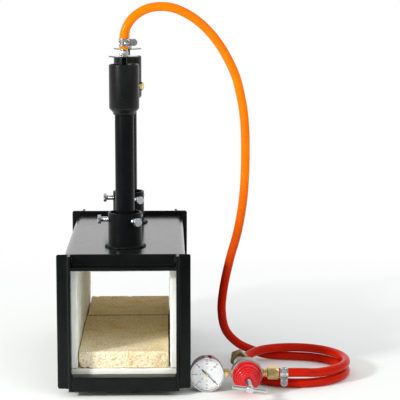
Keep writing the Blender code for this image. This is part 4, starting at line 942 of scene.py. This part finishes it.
TUBE_FACE = 17.15
HOLDER_BOLT_AT = 286.2
BELL_SCREW_AT = 504
HOLDER_BOLTS = {"left": 180, "front_right": -60, "back_right": 60}
SOCKET_HEAD = [(0, 9.8), (4.9, 9.8), (4.9, 11.2), (4.3, 11.6), (2.3, 11.6), (2.3, 10.4), (0, 10.2)]
CAP_HEAD = [(0, 9.85), (6.8, 9.85), (6.8, 10.2), (8.26, 10.4), (8.26, 13.3), (6.8, 14.35), (0, 14.35)]
BELL_SCREWS = {"front": (145, "zinc_plate", SOCKET_HEAD), "rear": (-20, "brass", CAP_HEAD)}
for name, y in BURNERS.items():
    for side, angle in HOLDER_BOLTS.items():
        at, way = spoke(angle, TUBE_FACE, y, HOLDER_BOLT_AT)
        shank = thread(4.75, 0, 25.6, 1.6, at, way)
        head = hex_head(14.3, 25.4, 31.5, at, way, angle / 7)
        make(f"{name}_clamp_bolt_{side}", [shank, head], "zinc_plate", f"{name}_holder_bolt_{side}")
    angle, finish, head = BELL_SCREWS[name]
    at, way = spoke(angle, TUBE_FACE, y, BELL_SCREW_AT)
    screw = [thread(4.75, 0, 10, 1.6, at, way), turned(head, at, way, 0.25, 72, 14.3, turn=12)]
    make(f"{name}_bell_bolt", screw, finish, f"{name}_bell_screw")
print(len(BURNERS) * (len(HOLDER_BOLTS) + 1), "bolts and screws")

# %% [markdown]
# ## Burners
#
# From the bottom up, a burner is a collar of wide pipe welded to the roof, a tube of one-inch
# pipe that slides in it, a cast bell with a three-armed spider inside, a jet pipe through the
# spider, and a choke disc with a lock nut on the jet pipe's thread. The weld is part of the
# collar's own surface: its radius ripples round the foot.

# %% Collar, tube, bell, jet and choke
ROOF = 237.8
SCALLOPS = 60


def weld_ripple(r, angle, z):
    """Scallops round the weld, on the slow waves of a hand-held torch."""
    on_weld = np.clip((242.8 - z) / 2, 0, 1) * (r > 30.3)
    lumps = 0.5 * np.sin(3 * angle + 1) + 0.35 * np.sin(8 * angle) + 0.25 * np.sin(13 * angle + 2)
    return on_weld * (0.45 * np.abs(np.sin(SCALLOPS / 2 * angle + z)) + lumps - 0.7)


t = np.linspace(0, np.pi / 2, 9)
weld_curve = np.stack([30.15 + 6.9 * np.cos(t), ROOF + 5 * np.sin(t) ** 0.9], axis=1)
COLLAR = [
    (26.25, 265), (26.25, ROOF), *weld_curve, (30.15, 298.6), (29.5, 299.2), (26.9, 299.2),
    (26.25, 298.6), (26.25, 265),
]
TUBE = [(13.5, 360), (13.5, 216), (16.85, 216), (16.85, 512), (13.5, 512), (13.5, 360)]
BELL = [
    (17.15, 490), (17.15, 473.5), (19.5, 473.5), (19.5, 476.6), (26.7, 484.2), (26.7, 560.2), (25.3, 562),
    (23.4, 562), (23.4, 540.3), (18.4, 524), (13.5, 515.3), (13.5, 512.3), (17.15, 512.3), (17.15, 490),
]
BELL_ROUNDS = np.array([0.3, 0.5, 2.4, 2.6, 0.5, 0.5, 0.5, 8, 6, 1, 0.2, 0.2])
SPIDER_ARM = [(-2.5, -3), (2.5, -3), (2.5, 3), (-2.5, 3)]
SPIDER_AT = 545.5
ARM_START = 7
ARM_LENGTH = 17
NOZZLE = [
    (0.6, 530), (0.6, 517.5), (2.2, 517.5), (4.2, 522.5), (4.2, 535), (3, 535.3), (3, 541.5),
    (0.6, 541.5), (0.6, 530),
]


def barb(root, crest, collar, low, ridges, step, bore):
    """A collar, then ridges that slope up one way and drop back the other, round a bore."""
    profile = [(bore, low + 1), (bore, low), (collar, low), (collar, low + 2), (root, low + 2)]
    for i in range(ridges):
        foot = low + 2 + i * step
        profile += [(crest, foot + step / 3), (root, foot + step)]
    return profile + [(bore, low + 2 + ridges * step), (bore, low + 1)]


for name, y in BURNERS.items():
    at = (0, y, 0)
    collar = turned(COLLAR, at, radius=0.3, steps=360, wobble=weld_ripple)
    make(f"{name}_collar", [collar], "black_paint", f"{name}_burner_holder")
    make(f"{name}_tube", [turned(TUBE, at, radius=0.5)], "black_paint", f"{name}_burner_tube")
    casting = [turned(BELL, at, radius=BELL_ROUNDS, steps=96), turned(sleeve(5.45, 9, 539.5, 551.5), at)]
    for angle in (90, 210, 330):
        foot, way = spoke(angle, ARM_START, y, SPIDER_AT)
        side = (-way[1], way[0], 0)
        casting.append(bar(SPIDER_ARM, foot, side, (0, 0, 1), way, ARM_LENGTH, 1))
    make(f"{name}_bell", casting, "cast_iron", f"{name}_burner_bell")
    threaded = thread(5.15, 546, 586, 1.0, at, depth=0.35, bore=3.3)
    plain = turned(sleeve(3.3, 5.0, 535.5, 546.2), at)
    make(f"{name}_jet", [threaded, plain], "black_paint", f"{name}_jet_pipe")
    make(f"{name}_nozzle", [turned(NOZZLE, at, radius=0.2)], "brass", f"{name}_jet_nozzle")
    plate = turned(sleeve(5.45, 26.2, 574.7, 576.7), at, radius=0.3, steps=128)
    make(f"{name}_choke_plate", [plate], "bright_plate", f"{name}_choke_disc")
    # The rim is a painted dark reflection on the disc's turned edge.
    rim = turned(sleeve(26, 26.55, 574.8, 576.6), at, radius=0.2, steps=128)
    make(f"{name}_choke_painted_reflection_rim", [rim], "painted_reflection_edge", f"{name}_choke_disc")
    lock_nut = nut(15.5, 5.45, 577, 585.5, at, turn=14, edge=1.6)
    make(f"{name}_choke_nut", [lock_nut], "zinc_plate", f"{name}_lock_nut")
    tail = barb(4.3, 5.1, 7.2, 586.3, 3, 22 / 3, 2.2)
    spigot = turned(sleeve(2.2, 3, 580.3, 586.5), at, radius=0.2)
    make(f"{name}_barb", [turned(tail, at, radius=0.2), spigot], "brass", f"{name}_hose_barb")
print("burners made")

# %% [markdown]
# ## Hose clamps
#
# A worm clamp is a thin slotted band, its loose end lapped over, a housing, and a screw with a
# slotted hexagon head that lies across the hose. It is drawn once, round the Z axis, and then
# carried to both ends of the hose.


# %% Worm clamps
BAND_SLOTS = 56


def band_slots(r, angle, z):
    """Shallow slots across the band, evenly round it, for the worm's thread."""
    return -0.35 * (np.abs(z) < 3.5) * (r > 9) * (np.sin(BAND_SLOTS * angle) > -0.2)


def lapped_end(start, end):
    """The band's loose end: a thin rectangle carried round an arc outside the band."""
    angle = np.radians(np.linspace(start, end, 16))[:, None]
    r = np.array([9.2, 10.0, 10.0, 9.2]) + np.zeros((16, 1))
    z = np.array([-5.5, -5.5, 5.5, 5.5]) + np.zeros((16, 1))
    return surface(np.stack([r * np.cos(angle), r * np.sin(angle), z], axis=-1) * MM, capped=True)


def carried(surfaces, at, toward, turn):
    """Finished surfaces moved from round the Z axis to their place on the hose."""
    return [(placed(points / MM, at, toward, turn), faces) for points, faces in surfaces]


BAND = [
    (8.3, 0), (8.3, -7), (9.1, -7), (9.1, -3.7), (9.1, -3.4), (9.1, 3.4), (9.1, 3.7), (9.1, 7),
    (8.3, 7), (8.3, 0),
]
ACROSS = (0, -1, 0)
HOUSING = (6.6, 13, 12.4)
HOUSING_AT = (11.9, 0, 0)
BARREL_AT = (17.8, 0, 0)
GROOVE = (1.1, 1.3, 9)
GROOVE_AT = (17.8, -10.4, 0)


def clamp(name, at, toward, turn):
    band = [
        turned(BAND, (0, 0, 0), radius=0, steps=224, wobble=band_slots),
        lapped_end(38, 84),
        block(HOUSING, 1.1, HOUSING_AT),
        turned(sleeve(3.1, 6.2, -6.25, 6.25), BARREL_AT, ACROSS, 0.5),
    ]
    make(f"{name}_worm_band", carried(band, at, toward, turn), "plain_steel", f"{name}_band")
    shank = turned([(0, -6.2), (2.8, -6.2), (2.8, 7), (0, 7)], BARREL_AT, ACROSS, 0.3)
    head = hex_head(7.5, 6.55, 10.55, BARREL_AT, ACROSS)
    worm = mesh_piece(f"{name}_worm", carried([shank, head], at, toward, turn))
    groove = block(GROOVE, 0.1, GROOVE_AT)
    drilled(worm, mesh_piece(f"{name}_groove", carried([groove], at, toward, turn)))
    dress(worm, "plain_steel", f"{name}_screw")


clamp("burner_clamp", (0, -109, 600.1), (0, 0, 1), 0)
clamp("regulator_clamp", (277.9, -212, 30.6), (1, 0, 0), -12)
print("two clamps made, each with", BAND_SLOTS, "slots round its band")

# %% [markdown]
# ## Regulator
#
# The regulator lies on its side: a zinc body, a rubber diaphragm gripped between it and a red
# bonnet in falling rings, and an adjusting screw with a bar through its head. Its spring and
# button are inside. The gas comes in through a big nut at the back and leaves by a hose tail.

# %% Body, bonnet and adjusting screw
REGULATOR = (213, -228, 30.6)
PORTS = (213, -212, 30.6)
FORWARD = (0, -1, 0)
BACK = (0, 1, 0)
RIGHT = (1, 0, 0)
LEFT = (-1, 0, 0)
BODY = [
    (0, -30), (19, -30), (23.5, -28), (27, -22), (27, -6), (26.2, -5), (26.2, -4), (27, -3),
    (27, 0), (0, 0),
]
BOSS = [(0, 10), (10, 10), (8.7, 23), (8.5, 27.5), (0, 27.5)]
body = [
    turned(BODY, REGULATOR, FORWARD, 0.8),
    turned(BOSS, PORTS, RIGHT, 0.8),
    turned(BOSS, PORTS, LEFT, 0.8),
    turned([(0, -8), (11, -8), (9.4, 0), (9, 8), (0, 8)], (201, -198, 45.6), BACK, 0.8),
]
make("regulator_casting", body, "zinc_casting", "regulator_body")
DISC = [(0, 0.3), (25.5, 0.3), (25.5, 1.8), (0, 1.8)]
make("diaphragm_edge", [turned(DISC, REGULATOR, FORWARD, 0.3)], "black_rubber", "diaphragm")

RINGS = [(26, 7.6), (22.5, 19), (19, 25.1), (16, 31.2), (13.5, 38)]


def bonnet_profile():
    """Rings of falling radius. Each ends in a round shoulder with a raised bead on its face."""
    profile, low = [(19.5, 10), (19.5, 2.1)], 2.1
    for radius, top in RINGS:
        shoulder = radius - 0.9
        profile += [(radius, low), (radius, top - 1.1), (shoulder, top - 0.2)]
        profile += [(shoulder - 0.5, top - 0.6), (shoulder - 1.1, top), (shoulder - 1.8, top - 0.6)]
        low = top - 0.6
    inside = [(7, 38), (6, 37.2), (5, 36.8), (5, 29), (10.5, 29), (10.5, 19), (19.5, 16), (19.5, 10)]
    return profile + inside


bonnet = turned(bonnet_profile(), REGULATOR, FORWARD, 0.45, 128)
make("red_bonnet", [bonnet], "red_paint", "regulator_bonnet")
TEE_SLOPE = math.radians(8)
tee = [
    thread(4.7, 25.3, 80.5, 2, REGULATOR, FORWARD, 0.6),
    turned([(0, 79), (5.6, 79), (6.8, 80.5), (6.8, 92), (5.2, 94), (0, 94)], REGULATOR, FORWARD, 0.8),
    turned([(0, -30.2), (3.1, -30.2), (3.1, 30.2), (0, 30.2)], (213, -315, 30.6),
           (math.cos(TEE_SLOPE), 0, -math.sin(TEE_SLOPE)), 1.2, 32),
]
make("tee_screw", tee, "plain_steel", "adjusting_screw")
BUTTON = [(0, 22), (9, 22), (9, 25), (6.2, 26.8), (5, 26.8), (5, 25), (0, 25)]
make("spring_cap", [turned(BUTTON, REGULATOR, FORWARD, 0.2)], "plain_steel", "spring_button")
turn = np.linspace(0, 8 * np.pi, 145)
curls = np.stack([7.5 * np.cos(turn), 7.5 * np.sin(turn), 3 + 2.6 * turn / (2 * np.pi)], axis=1)
wire = carried_circle(placed(curls, REGULATOR, FORWARD), 0.9 * MM, 12)
make("bonnet_spring", [surface(wire, capped=True)], "plain_steel", "pressure_spring")
print("regulator made,", len(RINGS), "rings on the bonnet")

# %% [markdown]
# The brass fittings are a hose tail with its nut, the inlet's tail with its notched nut, and
# the gauge's stem. They could be cut from solids with Booleans, but all are lathe work, so each
# is one profile, and a nut's radius is held back to its flats.

# %% Brass fittings
TAIL = [
    (2.2, 40), (2.2, 27.8), (5.5, 27.8), (7.3, 28.6), (7.3, 30.6), (5.6, 31.2), (5.6, 32), (7.6, 32.6),
    (7.6, 35.4), (5.4, 35.9), (5.4, 55.6), (4.3, 56), (5.1, 57.9), (4.3, 61.3), (5.1, 63.5), (4.3, 66.9),
    (5.1, 69), (4.3, 72.6), (2.2, 72.6), (2.2, 40),
]
make("outlet_tail", [turned(TAIL, PORTS, RIGHT, 0.25)], "brass", "outlet_hose_tail")
make("outlet_hex", [nut(20.5, 5.8, 36, 55.6, PORTS, RIGHT, 8, 1.8)], "brass", "outlet_nut")
INLET = (201, -190, 45.6)
STEM = [
    (2, 10), (2, 0.3), (6.2, 0.3), (6.2, 28.3), (8.5, 28.3), (8.5, 30.3), (3.4, 34.3), (2, 34.3),
    (2, 10),
]
make("inlet_tail", [turned(STEM, INLET, BACK, 0.3)], "brass", "inlet_stem")
NOTCHED = [
    (6.5, 17), (6.5, 6.5), (7.2, 6), (13, 6), (15.6, 8), (15.6, 15.4), (13.6, 16.6), (13.6, 17.6),
    (15.6, 18.8), (15.6, 26), (13, 28), (7.2, 28), (6.5, 27.5), (6.5, 17),
]
make("inlet_hex", [turned(NOTCHED, INLET, BACK, 0, 72, 27, turn=10)], "olive_brass", "inlet_nut")
STEM_FOOT = (185.2, -212, 30.6)
NECK = [(0, 0), (4.6, 0), (4.6, 3), (5.6, 3.4), (5.6, 4.2), (0, 4.2)]
neck = turned(NECK, STEM_FOOT, LEFT, 0.3)
hexagon = nut(14, 1.5, 3.9, 12.7, STEM_FOOT, LEFT, 20, 1.1)
make("gauge_hex_stem", [neck, hexagon], "brass", "gauge_stem")
print("brass fittings made")

# %% [markdown]
# ## Gauge
#
# The gauge hangs on the regulator's side, turned a quarter, so its numbers read from below.
# A red-brown case, a chrome bezel, a white dial, a black needle and a glass make it up. The
# ticks are boxes worked out in one array, and the numbers are Blender's own text, made a mesh
# before it is put in its place.


# %% Case, bezel, dial and glass
GAUGE = (143.2, -228.5, 30.6)
CASE = [(0, -34), (25, -34), (29.2, -30), (29.2, -6.5), (28.5, -6.5), (28.5, -8.5), (0, -8.5)]
make("gauge_cup", [turned(CASE, GAUGE, FORWARD, 1.2, 96)], "maroon_paint", "gauge_case")
BEZEL = [
    (28.5, -4), (28.5, -0.7), (28.9, -0.1), (29.5, 0), (30.1, -0.9), (30.2, -4.6), (29.6, -5.4),
    (28.5, -5.4), (28.5, -4),
]
make("gauge_bezel", [turned(BEZEL, GAUGE, FORWARD, 0.4, 128)], "bright_plate", "gauge_case")
PLUG = [(0, -2), (2.6, -2), (2.6, 1.2), (1.8, 1.8), (0, 1.8)]
PLUG_AT = (148, -207, 59)
plug = turned(PLUG, PLUG_AT, (0.15, 0, 1), 0.3, 32)
make("gauge_plug", [plug], "black_rubber", "gauge_case")
DIAL = [(0, -8.2), (28.4, -8.2), (28.4, -7.2), (1.2, -7.2), (1.2, -6.3), (0, -6.3)]
make("gauge_plate", [turned(DIAL, GAUGE, FORWARD, 0.1, 96)], "dial_white", "gauge_dial")
LENS = [(0, -2.4), (28.4, -2.4), (28.4, -0.8), (0, -0.8)]
make("gauge_window", [turned(LENS, GAUGE, FORWARD, 0.3, 96)], "gauge_glass", "gauge_lens")

# %% Ticks, numbers and needle
INK = -7.18
ZERO_ANGLE, LAST_ANGLE = 315, 45
NUMBERS = 7


def ticks(count, inner, outer, width):
    """Flat bars on the dial, evenly from the first angle to the last, in one array of corners."""
    angle = np.radians(np.linspace(ZERO_ANGLE, LAST_ANGLE, count))[:, None]
    along = np.array([inner, outer, outer, inner] * 2)
    beside = np.array([-1, -1, 1, 1] * 2) * width / 2
    height = np.repeat([INK - 0.05, INK + 0.06], 4) + np.zeros((count, 1))
    x = along * np.cos(angle) - beside * np.sin(angle)
    y = along * np.sin(angle) + beside * np.cos(angle)
    box = [[0, 1, 2, 3], [4, 5, 6, 7], [0, 1, 5, 4], [1, 2, 6, 5], [2, 3, 7, 6], [3, 0, 4, 7]]
    faces = (np.array(box) + 8 * np.arange(count)[:, None, None]).reshape(-1, 4).tolist()
    return placed(np.stack([x, y, height], axis=-1).reshape(-1, 3), GAUGE, FORWARD), faces


def number(words, size, angle, radius):
    """Text made a mesh, turned a quarter to the left and set at an angle round the dial."""
    curve = bpy.data.curves.new("number", "FONT")
    curve.body, curve.size, curve.extrude = words, size, 0.06
    curve.align_x, curve.align_y = "CENTER", "CENTER"
    curve.offset = size * 0.02
    shown = bpy.data.objects.new("number", curve)
    bpy.context.scene.collection.objects.link(shown)
    bpy.context.view_layer.update()
    mesh = bpy.data.meshes.new_from_object(shown.evaluated_get(bpy.context.evaluated_depsgraph_get()))
    points = np.empty(len(mesh.vertices) * 3)
    mesh.vertices.foreach_get("co", points)
    faces = [list(face.vertices) for face in mesh.polygons]
    bpy.data.objects.remove(shown)
    bpy.data.meshes.remove(mesh)
    x, y, z = points.reshape(-1, 3).T
    turn = math.radians(angle)
    spot = np.stack([radius * math.cos(turn) - y, radius * math.sin(turn) + x, INK + z], axis=1)
    return placed(spot, GAUGE, FORWARD), faces


marks = [ticks(61, 24.8, 26.6, 0.36), ticks(NUMBERS, 22.4, 26.6, 1.1), ticks(31, 14.2, 15.4, 0.32)]
for k, angle in enumerate(np.linspace(ZERO_ANGLE, LAST_ANGLE, NUMBERS)):
    marks.append(number(str(k), 6.2, angle, 18.9))
    marks.append(number(str(15 * k), 2.9, angle, 11.4))
make("dial_marks", marks, "dial_ink", "gauge_dial")
POINTER = [
    (22.5, -0.45), (22.5, 0.45), (3, 0.8), (2, 2), (-2, 2), (-3.4, 1.5), (-11.5, 1.5), (-11.5, -1.5),
    (-3.4, -1.5), (-2, -2), (2, -2), (3, -0.8),
]
slant = math.sqrt(0.5)
along, beside = (slant, 0, -slant), (slant, 0, slant)
needle = bar(POINTER, np.add(GAUGE, (0, 6, 0)), along, beside, FORWARD, 0.7, 0.3, 1, 0.12)
make("pointer", [needle], "dial_ink", "gauge_needle")
CAP = [(0, 0), (3, 0), (2.7, 0.8), (1.2, 1.3), (0, 1.4)]
cap = turned(CAP, np.add(GAUGE, (0, 5.4, 0)), FORWARD, 0.3, 32)
make("pointer_cap", [cap], "brass", "gauge_needle")
print(len(marks), "groups of marks on the dial")

# %% [markdown]
# ## Floor, backdrop and light
#
# The photograph was taken on a white sweep. One lamp stands low on the left in front, so its
# light enters the mouth at a slant, and the lining's left wall stays out of it. Polished and
# painted surfaces mirror the white behind and beside the forge, and the dark room behind the
# camera: the world gives reflections white there and near-black here, while the light that it
# gives is plain.

# %% World
world = bpy.data.worlds.new("white_sweep")
bpy.context.scene.world = world
bpy.context.scene.view_settings.view_transform = "Standard"
world.use_nodes = True
tree = world.node_tree
background = tree.nodes["Background"]
background.inputs["Color"].default_value = (1, 1, 1, 1)
rays = tree.nodes.new("ShaderNodeLightPath")
where = tree.nodes.new("ShaderNodeTexCoord")
split = tree.nodes.new("ShaderNodeSeparateXYZ")
tree.links.new(where.outputs["Generated"], split.inputs["Vector"])
ROOM_LIGHT = 0.74
mirrored = tree.nodes.new("ShaderNodeMapRange")
for socket, value in {"From Min": -0.3, "From Max": 0.95, "To Min": 0.3, "To Max": 1.0}.items():
    mirrored.inputs[socket].default_value = value
tree.links.new(split.outputs["Y"], mirrored.inputs["Value"])


def chosen(share, otherwise, value):
    """value where the ray is of this kind, and otherwise what came before."""
    node = tree.nodes.new("ShaderNodeMix")
    tree.links.new(share, node.inputs["Factor"])
    for socket, source in ((node.inputs["A"], otherwise), (node.inputs["B"], value)):
        if isinstance(source, bpy.types.NodeSocket):
            tree.links.new(source, socket)
        else:
            socket.default_value = source
    return node.outputs["Result"]


level = chosen(rays.outputs["Is Glossy Ray"], ROOM_LIGHT, mirrored.outputs["Result"])
level = chosen(rays.outputs["Is Transmission Ray"], level, 1.0)
level = chosen(rays.outputs["Is Camera Ray"], level, 1.0)
tree.links.new(level, background.inputs["Strength"])
print("room light", ROOM_LIGHT)


# %% [markdown]
# A sun would light the chamber evenly, and a point lamp would cut hard shadows. A small square
# lamp gives a firm shadow with a soft edge, and a wide weak one on the other side fills it.


# %% Lamps
def lamp(name, at, aim, size, power, colour):
    """A square lamp at a place, turned toward another. Its power is in watts."""
    data = bpy.data.lights.new(name, "AREA")
    data.size = size
    data.energy = power
    data.color = colour
    obj = bpy.data.objects.new(name, data)
    obj.location = at
    way = np.array(aim, float) - at
    obj.rotation_euler = Vector(way).to_track_quat("-Z", "Y").to_euler()
    bpy.context.scene.collection.objects.link(obj)


lamp("key_light", (-1.86, -1.65, 1.24), (0, -0.2, 0.08), 0.3, 58, (1.0, 0.985, 0.96))
lamp("fill_light", (1.9, -1.6, 1.5), (0.1, 0, 0.2), 1.4, 10, (0.96, 0.98, 1.0))
print("key and fill lamps placed")

# %% [markdown]
# The floor is one flat sheet. If it were pure white it would lose the forge's shadow, and if it
# were only matt it would end in a grey horizon. So it fades to white with distance, for the
# camera and in reflections, while the light that it throws back stays that of a matt floor.

# %% Floor
FLOOR_SIZE = 9.0
floor_points = np.array([[-1, -1, 0], [1, -1, 0], [1, 1, 0], [-1, 1, 0]]) * FLOOR_SIZE / 2
floor = mesh_piece("floor", [(floor_points, [[0, 1, 2, 3]])])


def white_sweep():
    """A matt floor that takes shadows. Seen or mirrored, it turns to pure white further back, and
    mirrored, it turns dark in front, where the sweep would end."""
    material, shader = new_material("floor_white", 0.9)
    nodes, link = material.node_tree.nodes, material.node_tree.links.new
    matt = nodes.new("ShaderNodeBsdfDiffuse")
    matt.inputs["Color"].default_value = (0.92, 0.955, 0.94, 1)
    rays = nodes.new("ShaderNodeLightPath")
    white, dark = nodes.new("ShaderNodeEmission"), nodes.new("ShaderNodeEmission")
    dark.inputs["Strength"].default_value = 0.12
    seen = arithmetic(material, "ADD", rays.outputs["Is Camera Ray"], rays.outputs["Is Glossy Ray"])
    seen = arithmetic(material, "ADD", seen, rays.outputs["Is Transmission Ray"])
    far, place = nodes.new("ShaderNodeVectorMath"), nodes.new("ShaderNodeTexCoord")
    far.operation = "DISTANCE"
    far.inputs[1].default_value = (0.1, -1.0, 0)
    link(place.outputs["Object"], far.inputs[0])
    toward_back = remap(material, far.outputs["Value"], 0.85, 2.1, 0, 1)
    toward_front = share_along(material, "Y", -0.5, -1.1)
    back = arithmetic(material, "MULTIPLY", seen, toward_back)
    front = arithmetic(material, "MULTIPLY", rays.outputs["Is Glossy Ray"], toward_front)
    shown = blended(material, back, matt.outputs[0], white.outputs[0])
    shown = blended(material, front, shown, dark.outputs[0])
    link(shown, nodes["Material Output"].inputs["Surface"])
    nodes.remove(shader)
    return material


floor.data.materials.append(white_sweep())
print("floor", FLOOR_SIZE, "m across")

# %% [markdown]
# ## The hose as a cord, and the end
#
# The pieces that stand for the hose's cord nodes are gathered and counted, and the hose's
# centreline is turned into a list of points.

# %% Cord pieces and the centreline
cord_nodes = frame["record"]["physics"]["cord_nodes"]
on_hose = [name for node in cord_nodes for name in stand_ins.get(node, [])]
print(len(on_hose), "pieces on the hose")
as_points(hose_line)
